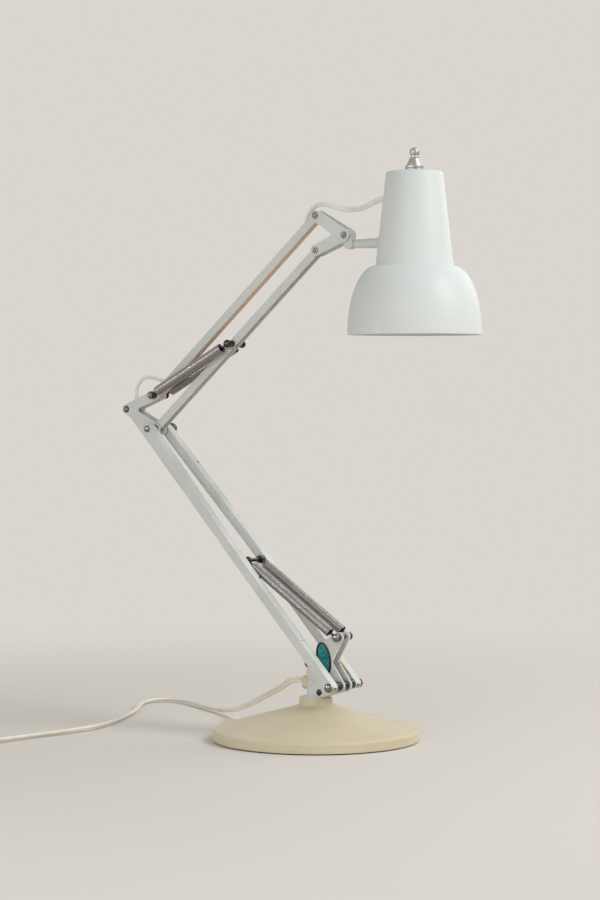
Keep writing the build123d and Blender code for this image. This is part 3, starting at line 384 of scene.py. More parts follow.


# The same enamel rubbed through along a fold: runs of brown primer and rust, whose warm tan on the downward
# faces is partly a painted reflection of a brown floor
def rubbedAndReflectionFinish(name, look):
    material, tree, shader, place = startMaterial(name, {"Roughness": look["roughness"]})
    run = addNode(tree, "ShaderNodeTexNoise", {"Scale": 1 / (look["runLength"] * mm), "Detail": 3},
                  {"Vector": place})
    bare = addNode(tree, "ShaderNodeMapRange",
                   {"From Min": look["start"], "From Max": look["start"] + look["fade"]},
                   {"Value": run.outputs["Fac"]})
    rust = addNode(tree, "ShaderNodeTexNoise", {"Scale": 1 / (look["rustSize"] * mm), "Detail": 4},
                   {"Vector": place})
    brown = addNode(tree, "ShaderNodeMix",
                    {"data_type": "RGBA", 6: linear(look["primer"]), 7: linear(look["rust"])},
                    {0: rust.outputs["Fac"]})
    tone = addNode(tree, "ShaderNodeMix", {"data_type": "RGBA", 6: linear(look["colour"])},
                   {0: bare.outputs["Result"], 7: brown.outputs[2]})
    tree.links.new(tone.outputs[2], shader.inputs["Base Color"])
    step = addNode(tree, "ShaderNodeBump",
                   {"Strength": look["step"], "Distance": look["stepHeight"] * mm, "invert": True},
                   {"Height": bare.outputs["Result"]})
    tree.links.new(step.outputs["Normal"], shader.inputs["Normal"])
    return material


# Bare or plated metal: tool marks or pitting in the gloss, drawn coarser than real to show, and tarnish in
# patches
metalTraits = {"stainStart": 0.45, "stainEnd": 0.75, "markHeight": 0.05}


def metalFinish(name, look):
    material, tree, shader, place = startMaterial(name, {"Metallic": look.get("metallic", 1.0)})
    drawn = addNode(tree, "ShaderNodeMapping", {"Scale": look.get("stretch", (1, 1, 1))}, {"Vector": place})
    grain = addNode(tree, "ShaderNodeTexNoise", {"Scale": 1 / (look["grain"] * mm), "Detail": 3},
                    {"Vector": drawn.outputs[0]})
    patch = addNode(tree, "ShaderNodeTexNoise", {"Scale": 1 / (look["patch"] * mm), "Detail": 5},
                    {"Vector": place})
    stain = addNode(tree, "ShaderNodeMapRange", {
        "From Min": metalTraits["stainStart"], "From Max": metalTraits["stainEnd"],
        "To Max": look["stain"]}, {"Value": patch.outputs["Fac"]})
    tone = addNode(tree, "ShaderNodeMix",
                   {"data_type": "RGBA", 6: linear(look["colour"]), 7: linear(look["tarnish"])},
                   {0: stain.outputs["Result"]})
    tree.links.new(tone.outputs[2], shader.inputs["Base Color"])
    bright, dull = look["roughness"]
    gloss = addNode(tree, "ShaderNodeMapRange", {"To Min": bright, "To Max": dull},
                    {"Value": grain.outputs["Fac"]})
    tree.links.new(gloss.outputs["Result"], shader.inputs["Roughness"])
    bump = addNode(tree, "ShaderNodeBump",
                   {"Strength": look["relief"], "Distance": metalTraits["markHeight"] * mm},
                   {"Height": grain.outputs["Fac"]})
    tree.links.new(bump.outputs["Normal"], shader.inputs["Normal"])
    return material


# Moulded plastic, rubber, fired enamel or felt: fine texture, drawn coarser than real to show, with handling
# marks, and a grime-coloured darkening put into corners by ambient occlusion, painted shade as well as grime
mouldTraits = {
    "handledStart": 0.4, "handledEnd": 0.7, "grimeAndShadeReach": 3, "grimeAndShadeStart": 0.8, "grimeAndShadeEnd": 0.25,
    "grimeAndShade": 0.3, "textureHeight": 0.08, "glossSwing": 0.08}


def mouldedFinish(name, look):
    rough, swing = look["roughness"], mouldTraits["glossSwing"]
    material, tree, shader, place = startMaterial(name, {"Specular IOR Level": look.get("specular", 0.5)})
    handled = addNode(tree, "ShaderNodeTexNoise", {"Scale": 1 / (look["patch"] * mm), "Detail": 4},
                      {"Vector": place})
    spread = addNode(tree, "ShaderNodeMapRange",
                     {"From Min": mouldTraits["handledStart"], "From Max": mouldTraits["handledEnd"]},
                     {"Value": handled.outputs["Fac"]})
    tone = addNode(tree, "ShaderNodeMix",
                   {"data_type": "RGBA", 6: linear(look["colour"]), 7: linear(look["aged"])},
                   {0: spread.outputs["Result"]})
    # Ambient occlusion darkens towards the grime colour where other surfaces are near: painted shade in the
    # corners
    corner = addNode(tree, "ShaderNodeAmbientOcclusion",
                     {"Distance": mouldTraits["grimeAndShadeReach"] * mm, "samples": 6})
    grimeAndShade = addNode(tree, "ShaderNodeMapRange", {
        "From Min": mouldTraits["grimeAndShadeStart"], "From Max": mouldTraits["grimeAndShadeEnd"],
        "To Max": look.get("grimeAndShade", mouldTraits["grimeAndShade"])}, {"Value": corner.outputs["AO"]})
    dirtyAndShaded = addNode(tree, "ShaderNodeMix", {"data_type": "RGBA", 7: linear(look["dirtAndShade"])},
                    {0: grimeAndShade.outputs["Result"], 6: tone.outputs[2]})
    tree.links.new(dirtyAndShaded.outputs[2], shader.inputs["Base Color"])
    texture = addNode(tree, "ShaderNodeTexNoise", {"Scale": 1 / (look["texture"] * mm), "Detail": 2},
                      {"Vector": place})
    bump = addNode(tree, "ShaderNodeBump",
                   {"Strength": look["relief"], "Distance": mouldTraits["textureHeight"] * mm},
                   {"Height": texture.outputs["Fac"]})
    tree.links.new(bump.outputs["Normal"], shader.inputs["Normal"])
    gloss = addNode(tree, "ShaderNodeMapRange", {"To Min": rough - swing, "To Max": rough + swing},
                    {"Value": handled.outputs["Fac"]})
    tree.links.new(gloss.outputs["Result"], shader.inputs["Roughness"])
    return material


# Base: ivory stoving enamel over pressed steel, satin with age, so its light runs soft over the shoulder
ivoryEnamel = paintFinish("ivoryEnamel", {
    "colour": "#ddd3b8", "aged": "#d5c9aa", "dustAndShade": "#8a7a5a", "dustAndShadeReach": 6, "dustAndShadeAmount": 0.35,
    "chip": "#4a4034", "chipSpacing": 26, "chipSize": 2.2, "chipChance": 0.14, "driftSize": 70,
    "peelSize": 2.2, "peel": 0.1, "roughness": 0.45, "coat": 0.06})
# Arms: pale grey enamel on folded strip, dulled by handling, so the sides look flat and the edges chipped
armLook = {
    "colour": "#dfe3e1", "aged": "#d4d8d4", "dustAndShade": "#8f8370", "dustAndShadeReach": 3, "dustAndShadeAmount": 0.15,
    "chip": "#3d352c", "chipSpacing": 11, "chipSize": 1.9, "chipChance": 0.13, "driftSize": 34,
    "peelSize": 2.4, "peel": 0.04, "roughness": 0.58, "coat": 0}
armEnamel = paintFinish("armEnamel", armLook)
# Rear lower bar: the arm enamel scraped off to its ochre primer near the foot, one warm streak on grey
scrapedEnamel = paintFinish("scrapedEnamel", {**armLook, "streak": {
    "middle": (24, 16.1, 70.2), "reach": (17, 4, 4.4), "turn": 49, "ragged": 3, "edgeStart": 0.2,
    "edgeEnd": 0.26, "colour": "#e2b98c"}})
# Shade: cool white enamel on spun aluminium, the best kept paint, with a broad soft highlight and few chips
shadeEnamel = paintFinish("shadeEnamel", {
    "colour": "#e2e8e7", "aged": "#d9dfde", "dustAndShade": "#a39a89", "dustAndShadeReach": 5, "dustAndShadeAmount": 0.25,
    "chip": "#6b6256", "chipSpacing": 40, "chipSize": 1.2, "chipChance": 0.04, "driftSize": 110,
    "peelSize": 3.0, "peel": 0.05, "roughness": 0.5, "coat": 0.05})
# Undersides of the arms: enamel worn to primer and a little rust, a thin tan line under each pale bar that is
# partly a painted reflection of a warm floor below
rubbedEnamelAndReflection = rubbedAndReflectionFinish("rubbedEnamelAndReflection", {
    "colour": "#dad6cc", "primer": "#dcc5ad", "rust": "#c2a384", "runLength": 30, "start": 0.36, "fade": 0.08,
    "rustSize": 6, "roughness": 0.5, "step": 0.3, "stepHeight": 0.1})
# Coils: drawn and oiled spring wire, grey with a bright streak along each coil
springSteel = metalFinish("springSteel", {
    "colour": "#979492", "tarnish": "#5d5a57", "stain": 0.25, "patch": 18, "grain": 0.9,
    "roughness": (0.27, 0.33), "relief": 0.02})
# Pins, nuts and hooks: blacked steel, near black with small sharp glints where it is rubbed
blackSteel = metalFinish("blackSteel", {
    "colour": "#434443", "tarnish": "#20201f", "stain": 0.6, "patch": 4, "grain": 0.7,
    "roughness": (0.14, 0.3), "relief": 0.06})
# Bolt heads and bright pin ends: turned steel gone dull in spots, with glints broken by fine tool marks
turnedSteel = metalFinish("turnedSteel", {
    "colour": "#888987", "tarnish": "#4c4b48", "stain": 0.5, "patch": 5, "grain": 0.5,
    "stretch": (0.2, 0.2, 3), "roughness": (0.1, 0.24), "relief": 0.04})
# Switch: nickel plate worn and clouded by fingers, so it shines wide and greyish
wornNickel = metalFinish("wornNickel", {
    "colour": "#b2b3ad", "tarnish": "#7c7c74", "stain": 0.6, "patch": 3.5, "grain": 0.6,
    "roughness": (0.35, 0.5), "relief": 0.06})
# Weight in the base: sand-cast iron, dark and grainy with brown rust
castIron = metalFinish("castIron", {
    "colour": "#4a4a4b", "tarnish": "#33261d", "stain": 0.6, "patch": 12, "grain": 1.2,
    "roughness": (0.55, 0.8), "relief": 0.5, "metallic": 0.8})
# Plug blades: drawn brass, warm yellow with brown tarnish and marks along the blade
plugBrass = metalFinish("plugBrass", {
    "colour": "#c9b272", "tarnish": "#8c7440", "stain": 0.5, "patch": 5, "grain": 0.5,
    "stretch": (3, 0.3, 1), "roughness": (0.2, 0.4), "relief": 0.08})
# Bulb cap: rolled aluminium, pale grey with soft shine
capAluminium = metalFinish("capAluminium", {
    "colour": "#c8c8c4", "tarnish": "#8a8880", "stain": 0.4, "patch": 6, "grain": 0.5,
    "roughness": (0.25, 0.4), "relief": 0.08})
# Flex: extruded PVC, once white and yellowed a little, with a slight sheen along its lobes
flexPvc = mouldedFinish("flexPvc", {
    "colour": "#f6f3ea", "aged": "#ece7da", "dirtAndShade": "#9c907a", "grimeAndShade": 0.15, "patch": 22, "texture": 0.8,
    "relief": 0.1, "roughness": 0.42})
# Grommets, tie and plug: cream moulded rubber, matt, warmer than the flex
creamRubber = mouldedFinish("creamRubber", {
    "colour": "#e2dac0", "aged": "#d6cbab", "dirtAndShade": "#8a7b5c", "patch": 8, "texture": 0.7, "relief": 0.15,
    "roughness": 0.5})
# Lamp holder: pressed phenolic, near black with a clean moulded gloss
blackPhenolic = mouldedFinish("blackPhenolic", {
    "colour": "#1a1817", "aged": "#26211d", "dirtAndShade": "#4a4136", "patch": 12, "texture": 1.0, "relief": 0.08,
    "roughness": 0.32})
# Foot pad: pressed wool felt, dark and without shine. Its fibres are drawn coarser than real
footFelt = mouldedFinish("footFelt", {
    "colour": "#3a3c38", "aged": "#2f312e", "dirtAndShade": "#57503f", "patch": 10, "texture": 0.9, "relief": 0.9,
    "roughness": 0.88, "specular": 0.2})
# Badge: vitreous enamel fired on metal, deep teal with a wet gloss and cloudy patches
tealEnamel = mouldedFinish("tealEnamel", {
    "colour": "#1f7a7e", "aged": "#3ba5a4", "dirtAndShade": "#12383c", "patch": 3, "texture": 1.4, "relief": 0.2,
    "roughness": 0.3})
# Badge border: the same fired enamel in black, a glossy dark line round the teal
blackEnamel = mouldedFinish("blackEnamel", {
    "colour": "#12181a", "aged": "#1c2224", "dirtAndShade": "#2c2c28", "patch": 5, "texture": 1.0, "relief": 0.1,
    "roughness": 0.35})

# Bulb: blown glass etched inside, so it looks pale and hides what is behind it. The etch is drawn coarser
# than real, to show
glassLook = {
    "settings": {"Roughness": 0.45, "IOR": 1.5, "Transmission Weight": 0.35}, "pale": "#f1eee4",
    "creamy": "#e6e1d3", "etch": 1.2, "relief": 0.15, "etchDepth": 0.05}
bulbGlass, bulbTree, bulbShader, bulbPlace = startMaterial("frostedGlass", glassLook["settings"])
etch = addNode(bulbTree, "ShaderNodeTexNoise", {"Scale": 1 / (glassLook["etch"] * mm), "Detail": 2},
               {"Vector": bulbPlace})
frost = addNode(bulbTree, "ShaderNodeMix",
                {"data_type": "RGBA", 6: linear(glassLook["pale"]), 7: linear(glassLook["creamy"])},
                {0: etch.outputs["Fac"]})
bulbTree.links.new(frost.outputs[2], bulbShader.inputs["Base Color"])
etchBump = addNode(bulbTree, "ShaderNodeBump",
                   {"Strength": glassLook["relief"], "Distance": glassLook["etchDepth"] * mm},
                   {"Height": etch.outputs["Fac"]})
bulbTree.links.new(etchBump.outputs["Normal"], bulbShader.inputs["Normal"])
print("finishes made")


roundLook = {"sideShare": 0.49, "fewestSteps": 3, "stepAngle": 11}


# A turned line of (radius, height) pairs, with a third number where a corner is rounded
def roundCorners(points):
    line = []
    for index, point in enumerate(points):
        here = Vector(point[:2])
        if len(point) < 3:
            line.append(tuple(here))
            continue
        before = Vector(points[index - 1][:2]) - here
        after = Vector(points[(index + 1) % len(points)][:2]) - here
        corner = before.angle(after)
        most = roundLook["sideShare"] * min(before.length, after.length)
        reach = min(point[2] / math.tan(corner / 2), most)
        bend = reach * math.tan(corner / 2)
        inward = (before.normalized() + after.normalized()).normalized()
        middle = here + inward * (bend / math.sin(corner / 2))
        start = here + before.normalized() * reach - middle
        sweep = (here + after.normalized() * reach - middle).angle_signed(start)
        steps = max(roundLook["fewestSteps"], math.ceil(abs(sweep) / math.radians(roundLook["stepAngle"])))
        line += [tuple(middle + Matrix.Rotation(sweep * i / steps, 2) @ start) for i in range(steps + 1)]
    return line


spinLook = {"weld": 0.01, "smoothAngle": 32}


def spinProfile(name, points, steps, closed=False):
    line = roundCorners(points)
    clearBench()
    bpy.ops.mesh.primitive_plane_add(size=mm)
    piece = bpy.context.active_object
    piece.name = name
    bpy.ops.object.mode_set(mode="EDIT")
    bpy.ops.mesh.select_mode(type="VERT")
    bpy.ops.mesh.select_all(action="SELECT")
    bpy.ops.mesh.merge(type="CENTER")
    bpy.ops.transform.translate(value=(line[0][0] * mm, 0, line[0][1] * mm))
    for (r0, h0), (r1, h1) in zip(line, line[1:]):
        step = ((r1 - r0) * mm, 0, (h1 - h0) * mm)
        bpy.ops.mesh.extrude_vertices_move(TRANSFORM_OT_translate={"value": step})
    bpy.ops.mesh.select_all(action="SELECT")
    if closed:
        bpy.ops.mesh.edge_face_add()
        bpy.ops.mesh.delete(type="ONLY_FACE")
        bpy.ops.mesh.select_all(action="SELECT")
    bpy.ops.mesh.spin(steps=steps, angle=2 * math.pi, center=(0, 0, 0), axis=(0, 0, 1))
    bpy.ops.mesh.select_all(action="SELECT")
    bpy.ops.mesh.remove_doubles(threshold=spinLook["weld"] * mm)
    faceOutward()
    bpy.ops.object.shade_smooth_by_angle(angle=math.radians(spinLook["smoothAngle"]))
    return piece


def settle(piece, place, turn=(0, 0, 0)):
    selectOnly(piece)
    piece.location = Vector(place) * mm
    piece.rotation_euler = [math.radians(a) for a in turn]
    bpy.ops.object.transform_apply(location=True, rotation=True, scale=True)
    return piece


def joinPieces(name, parts):
    selectOnly(parts[0])
    for part in parts[1:]:
        part.select_set(True)
    if len(parts) > 1:
        bpy.ops.object.join()
    parts[0].name = name
    return parts[0]


def dress(piece, material, body, slotName, *nodes):
    if not piece.data.materials:
        piece.data.materials.append(material)
    piece.data.materials[0] = material
    if body:
        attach(piece, body)
    if nodes:
        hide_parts(*nodes)
    return piece


# Base: pressed cover with a crisp shoulder and a plain collar
baseLook = {
    "profile": [
        (98.6, 1), (100, 1.2), (100, 11, 3.2), (16.6, 34.5, 1.2), (15.9, 42.2, 0.9), (8.7, 42.2), (8.7, 33.4),
        (14.6, 32.8, 0.8), (94.5, 9.5, 1.5), (98.4, 7.2, 1.2)],
    "steps": 128,
}
baseCover = spinProfile("baseCover", baseLook["profile"], baseLook["steps"], closed=True)
dress(baseCover, ivoryEnamel, "base", "cover_paint", "base_cover")

# Shade: spun neck over a bell, soft crease between them and a turned edge at the mouth
shadeLook = {
    "axis": (112, 0, 0), "steps": 144, "rim": 392.2, "crease": 457.5, "creaseRadius": 37, "rimRadius": 63.8,
    "wall": 1.2, "edge": 0.5, "top": 546.7, "topRadius": 26.8, "bore": 4.9, "bellSteps": 18,
    "creaseRound": 1.4, "topRound": 3.2, "insideRound": 2,
}


def bellLine(wall):
    start = shadeLook["creaseRadius"] - wall
    spread = shadeLook["rimRadius"] - wall - start
    tall = shadeLook["crease"] - shadeLook["rim"] - wall
    count = shadeLook["bellSteps"]
    turns = [math.pi / 2 * i / count for i in range(count + 1)]
    return [(start + spread * math.cos(a), shadeLook["rim"] + tall * math.sin(a)) for a in turns]


wall, edge, bore = (shadeLook[key] for key in ("wall", "edge", "bore"))
rim, crease, top = (shadeLook[key] for key in ("rim", "crease", "top"))
rimRadius, creaseRadius, topRadius = (shadeLook[key] for key in ("rimRadius", "creaseRadius", "topRadius"))
shadeProfile = [(rimRadius - edge, rim), (rimRadius, rim + edge)] + bellLine(0)[1:-1]
shadeProfile += [(creaseRadius, crease, shadeLook["creaseRound"]), (topRadius, top, shadeLook["topRound"])]
shadeProfile += [(bore, top), (bore, top - wall), (topRadius - wall, top - wall, shadeLook["insideRound"])]
shadeProfile += [(creaseRadius - wall, crease)] + bellLine(wall)[::-1][1:-1] + [(rimRadius - wall, rim)]
shade = settle(spinProfile("shade", shadeProfile, shadeLook["steps"], closed=True), shadeLook["axis"])
dress(shade, shadeEnamel, "head", "shade_paint", "shade")

# Bulb: pear of frosted glass on a screw cap
bulbLook = {
    "floor": 393.2, "steps": 64, "capSteps": 48, "threads": 7, "threadFoot": 83.4, "threadPitch": 3.1,
    "threadRise": 1.5, "threadRound": 0.9, "threadRadii": (12.3, 13.1),
    "glass": [
        (0, 0), (6.5, 0.5), (12.8, 2.2), (18.4, 4.9), (23.2, 9.3), (27.1, 15.6), (29.3, 23.8), (30, 33),
        (28.9, 40.6), (26.3, 46.8), (22.2, 52.8), (19.6, 57), (17.4, 62), (15.9, 67), (14.9, 73),
        (14.5, 81.9), (0, 81.9)],
    "capFoot": [(0, 82), (12.6, 82)],
    "capTop": [(12, 105.8), (9, 107), (5, 107.2), (4.6, 108.9, 0.5), (0, 108.9)],
}
bulb = spinProfile("bulb", bulbLook["glass"], bulbLook["steps"])
bulbSeat = (shadeLook["axis"][0], 0, bulbLook["floor"])
dress(settle(bulb, bulbSeat), bulbGlass, "head", "bulb", "bulb_glass")
threadIn, threadOut = bulbLook["threadRadii"]
capLine = list(bulbLook["capFoot"])
for turn in range(bulbLook["threads"]):
    foot = bulbLook["threadFoot"] + bulbLook["threadPitch"] * turn
    capLine += [(threadIn, foot), (threadOut, foot + bulbLook["threadRise"], bulbLook["threadRound"])]
bulbCap = settle(spinProfile("bulbCap", capLine + bulbLook["capTop"], bulbLook["capSteps"]), bulbSeat)
dress(bulbCap, capAluminium, "head", "bulb_metal", "bulb_cap")

# Lamp holder: black moulding with grip rings
holderLook = {
    "line": [
        (13.7, 481.5), (16.9, 481.5), (17.5, 482.3), (17.5, 492), (16.7, 493), (17.5, 494), (17.5, 498),
        (16.7, 499), (17.5, 500), (17.5, 504), (16.7, 505), (17.5, 506), (17.5, 539.5, 3.8), (4.9, 539.5),
        (4.9, 502.7), (13.7, 502.7)],
    "steps": 64,
}
holder = spinProfile("lampHolder", holderLook["line"], holderLook["steps"], closed=True)
dress(settle(holder, shadeLook["axis"]), blackPhenolic, "head", "holder", "lamp_holder")

# Switch: stepped nut and cone on the neck, ball knob above
switchLook = {
    "nut": [
        (4.9, 0), (9.4, 0, 0.3), (9.4, 2.6, 0.5), (8.5, 2.8), (8.8, 3.4, 0.3), (8.8, 5.5, 0.8), (7.6, 5.7),
        (7.0, 7.6, 0.3), (6.6, 7.9), (5.0, 12.4, 0.6), (4.88, 12.4)],
    "knob": [
        (0, 0.4), (1.8, 0.4), (1.8, 12.75), (3.7, 12.75, 0.3), (3.5, 15.2), (4.3, 15.5), (4.8, 17.6, 1.2),
        (4.7, 19.6, 1.0), (3.6, 21.6, 1.0), (1.6, 22.7, 0.6), (0, 22.8)],
    "steps": 48,
}
neckTop = (shadeLook["axis"][0], 0, shadeLook["top"])
switchNut = settle(spinProfile("switchNut", switchLook["nut"], switchLook["steps"], closed=True), neckTop)
dress(switchNut, wornNickel, "head", "chrome", "switch_nut")
switchKnob = settle(spinProfile("switchKnob", switchLook["knob"], switchLook["steps"]), neckTop)
dress(switchKnob, wornNickel, "switch", "chrome", "switch_knob")
print("base, shade, bulb and switch made")


# Turned pins lie across the arms: a head at the front or at both ends, then steps of (radius, from, to)
headShares = {
    "dome": [(0, 1), (0.3, 0.96), (0.55, 0.86), (0.77, 0.66), (0.92, 0.4), (0.99, 0.14), (1, 0)],
    "ringed": [
        (0, 1), (0.25, 0.96), (0.46, 0.82), (0.6, 0.6), (0.66, 0.4), (0.7, 0.36), (0.9, 0.36),
        (1, 0.22), (1, 0)],
}
domeShare = 0.66  # inside this share of a ringed head the steel is bright, outside it is black
pinShape = {"edge": 0.25, "steps": 32, "shaft": 1.9}
alongY = (-90, 0, 0)  # lays a spun piece across the arms


def headLine(seat, way, radius, height, kind):
    return [(radius * r, seat + way * height * h) for r, h in headShares[kind]]


def brightDomes(piece, look):
    x, z = look["at"]
    reach = domeShare * look["head"][0] * mm
    seat = look["back"] * mm
    for face in piece.data.polygons:
        off = math.hypot(face.center.x - x * mm, face.center.z - z * mm)
        face.material_index = 1 if off < reach and abs(face.center.y) > seat else 0


def turnedPin(name, look, kind):
    edge = pinShape["edge"]
    line = headLine(look["front"], -1, *look["head"], kind) if "front" in look else [(0, look["start"])]
    for radius, near, far in look["steps"]:
        line += [(radius - edge, near), (radius, near + edge), (radius, far - edge), (radius - edge, far)]
    line += headLine(look["back"], 1, *look["head"], kind)[::-1] if "back" in look else [(0, look["end"])]
    x, z = look["at"]
    piece = settle(spinProfile(name, line, pinShape["steps"]), (x, 0, z), alongY)
    if kind == "ringed":
        piece.data.materials.append(blackSteel)
        piece.data.materials.append(turnedSteel)
        brightDomes(piece, look)
    return piece


def collarSteps(seat, collars):
    steps = []
    here = -seat
    for radius, near, far in [(r, -b, -a) for r, a, b in collars[::-1]] + collars:
        steps += [(pinShape["shaft"], here, near), (radius, near, far)]
        here = far
    return steps + [(pinShape["shaft"], here, seat)]


def collared(at, seat, collars, head=(3.5, 2.4)):
    return {"at": at, "front": -seat, "back": seat, "head": head, "steps": collarSteps(seat, collars)}


pinLook = {
    "basePivotBolt": {
        "at": (31.4, 55), "front": -25.45, "head": (4.6, 3), "steps": [(2.5, -25.45, 29.4)], "end": 29.4},
    "elbowBolt": {
        "at": (-192.01, 300.18), "front": -18.6, "head": (3.6, 2.6), "steps": [(2.5, -18.6, 23)], "end": 23},
    "elbowCornerPin": collared((-228.01, 319.78), 6.45, [], (3.4, 2.4)),
    "headMainBolt": collared((3.01, 474.92), 6.45, [], (3.4, 2.4)),
    "headTieBolt": collared((3.01, 508.92), 6.45, [], (3.4, 2.4)),
    "tiltBolt": collared((36.01, 488.72), 6.45, [], (3.4, 2.4)),
    "lowerLinkPin": collared((-4.6, 74.6), 7.0, [], (3.4, 1.6)),
    "lowerSpringPost": collared((30.6, 101.8), 11.9, [(3.5, 7.0, 9.3)], (4, 2.4)),
    "upperSpringPost": collared((-192.01, 334.18), 13.1, [(3.5, 6.45, 10.5)]),
    "upperSpringPin": collared((-96.98, 385.33), 13.1, [(3.5, 4.15, 10.5)], (4, 2.4)),
    "lowerSpringPin": {
        "at": (-73.46, 171.86), "start": -23.9, "end": 23.9,
        "steps": collarSteps(23.9, [(3.5, 7.7, 9.3), (3.5, 11.9, 13.5)])},
}
pinHomes = {
    "basePivotBolt": ("swivel", "base_pivot_bolt", "dome", turnedSteel),
    "elbowBolt": ("elbow", "elbow_bolt", "dome", turnedSteel),
    "elbowCornerPin": ("elbow", "elbow_corner_pin", "ringed", blackSteel),
    "headMainBolt": ("head_bracket", "head_main_bolt", "ringed", blackSteel),
    "headTieBolt": ("head_bracket", "head_tie_bolt", "ringed", blackSteel),
    "tiltBolt": ("head_bracket", "tilt_bolt", "ringed", blackSteel),
    "lowerLinkPin": ("swivel", "lower_link_pin", "dome", blackSteel),
    "lowerSpringPost": ("swivel", "lower_spring_post", "dome", turnedSteel),
    "upperSpringPost": ("elbow", "upper_spring_post", "ringed", blackSteel),
    "upperSpringPin": ("upper_arm", "upper_spring_pin", "dome", blackSteel),
    "lowerSpringPin": ("lower_arm", "lower_spring_pin", "dome", blackSteel),
}
for pinName, (body, node, kind, finish) in pinHomes.items():
    dress(turnedPin(pinName, pinLook[pinName], kind), finish, body, "dark_steel", node)

# Rivets through the bracket, spacers on the bolts, and the two nuts
rivetLook = {"low": (8.3, 47.4), "high": (-1.2, 56.1), "seat": 7.0, "head": (3.1, 1.3)}
lowPin, highPin = (collared(rivetLook[key], rivetLook["seat"], [], rivetLook["head"])
                   for key in ("low", "high"))
dress(turnedPin("lowRivet", lowPin, "dome"), blackSteel, "swivel", "steel", "bracket_rivets")
dress(turnedPin("highRivet", highPin, "dome"), armEnamel, "swivel", "arm_paint")  # painted over

ringLook = {
    "radius": 4.6, "bore": 2.6, "edge": 0.35, "sides": 40, "hex": 6, "base": (31.4, 55),
    "elbow": (-192.01, 300.18), "baseSpans": [(-15.9, -7.05), (-4.95, 4.95), (7.05, 15.9)],
    "elbowSpans": [(-9.35, -6.65), (6.65, 9.35)], "nutSpan": (25.45, 29.25),
}


def spacerRing(at, near, far, radius=ringLook["radius"], sides=ringLook["sides"]):
    bore, edge = ringLook["bore"], ringLook["edge"]
    line = [(bore, near), (radius - edge, near), (radius, near + edge), (radius, far - edge)]
    line += [(radius - edge, far), (bore, far)]
    return settle(spinProfile("ring", line, sides, closed=True), (at[0], 0, at[1]), alongY)


baseRings = [spacerRing(ringLook["base"], *span) for span in ringLook["baseSpans"]]
dress(joinPieces("basePivotSpacers", baseRings), blackSteel, "swivel", "dark_steel", "base_pivot_spacers")
elbowRings = [spacerRing(ringLook["elbow"], *span) for span in ringLook["elbowSpans"]]
dress(joinPieces("elbowSpacers", elbowRings), blackSteel, "elbow", "dark_steel", "elbow_spacers")
baseNut = spacerRing(ringLook["base"], *ringLook["nutSpan"], sides=ringLook["hex"])
dress(baseNut, blackSteel, "swivel", "dark_steel", "base_pivot_nut")
acornLook = {
    "radius": 6.2, "span": (18.6, 22.2),
    "dome": [(2.6, 21.8), (5.3, 21.8), (5.4, 23.4), (4.9, 25.2), (3.7, 26.7), (1.9, 27.45), (0, 27.6)]}
acornHex = spacerRing(ringLook["elbow"], *acornLook["span"], acornLook["radius"], ringLook["hex"])
elbowX, elbowZ = ringLook["elbow"]
acornDome = settle(spinProfile("dome", acornLook["dome"], ringLook["sides"]), (elbowX, 0, elbowZ), alongY)
dress(joinPieces("elbowNut", [acornHex, acornDome]), blackSteel, "elbow", "dark_steel", "elbow_nut")
print("pins, rivets, spacers and nuts turned")


# Springs: fine wire wound close, one helix by the screw modifier, two side by side on each arm. The wire
# is drawn flatter than round, so the coil shines in one streak as a real one does from this far
springLook = {
    "wire": 0.8, "crown": 0.2, "outer": 9.6, "hook": 8.3, "gap": 0.04, "stepsPerTurn": 18, "wireSides": 8,
    "smoothAngle": 50,
    "lower": {"from": (30.6, 101.8), "to": (-73.46, 171.86), "spread": 10.6},
    "upper": {"from": (-192.01, 334.18), "to": (-96.98, 385.33), "spread": 11.8},
}


def woundSpring(name, near, far, spread):
    start, end = Vector((near[0], spread, near[1])), Vector((far[0], spread, far[1]))
    way = (end - start).normalized()
    length = (end - start).length - 2 * springLook["hook"]
    wire, crown = springLook["wire"], springLook["crown"]
    turns = int((length - wire) / (wire + springLook["gap"]))
    clearBench()
    bpy.ops.mesh.primitive_circle_add(
        vertices=springLook["wireSides"], radius=wire / 2 * mm, rotation=(math.pi / 2, 0, 0),
        location=((springLook["outer"] - wire * crown) / 2 * mm, 0, wire / 2 * mm))
    piece = bpy.context.active_object
    piece.scale = (crown, 1, 1)
    bpy.ops.object.transform_apply(location=True, rotation=True, scale=True)
    winding = piece.modifiers.new("winding", "SCREW")
    winding.angle = 2 * math.pi
    winding.screw_offset = (length - wire) / turns * mm
    winding.iterations = turns
    winding.steps = springLook["stepsPerTurn"]
    winding.render_steps = springLook["stepsPerTurn"]
    bpy.ops.object.modifier_apply(modifier=winding.name)
    bpy.ops.object.mode_set(mode="EDIT")
    bpy.ops.mesh.select_all(action="SELECT")
    bpy.ops.mesh.fill_holes(sides=0)
    faceOutward()
    bpy.ops.object.shade_smooth_by_angle(angle=math.radians(springLook["smoothAngle"]))
    piece.name = name
    heading = way.to_track_quat("Z", "Y").to_euler()
    return settle(piece, start + way * springLook["hook"], [math.degrees(a) for a in heading])


for arm in ("lower", "upper"):
    ends = springLook[arm]
    pair = [woundSpring(arm + "Spring", ends["from"], ends["to"], side * ends["spread"]) for side in (-1, 1)]
    springs = joinPieces(arm + "Springs", pair)
    dress(springs, springSteel, None, "spring_steel", arm + "_spring_coils")
    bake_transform(springs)
print("springs wound")


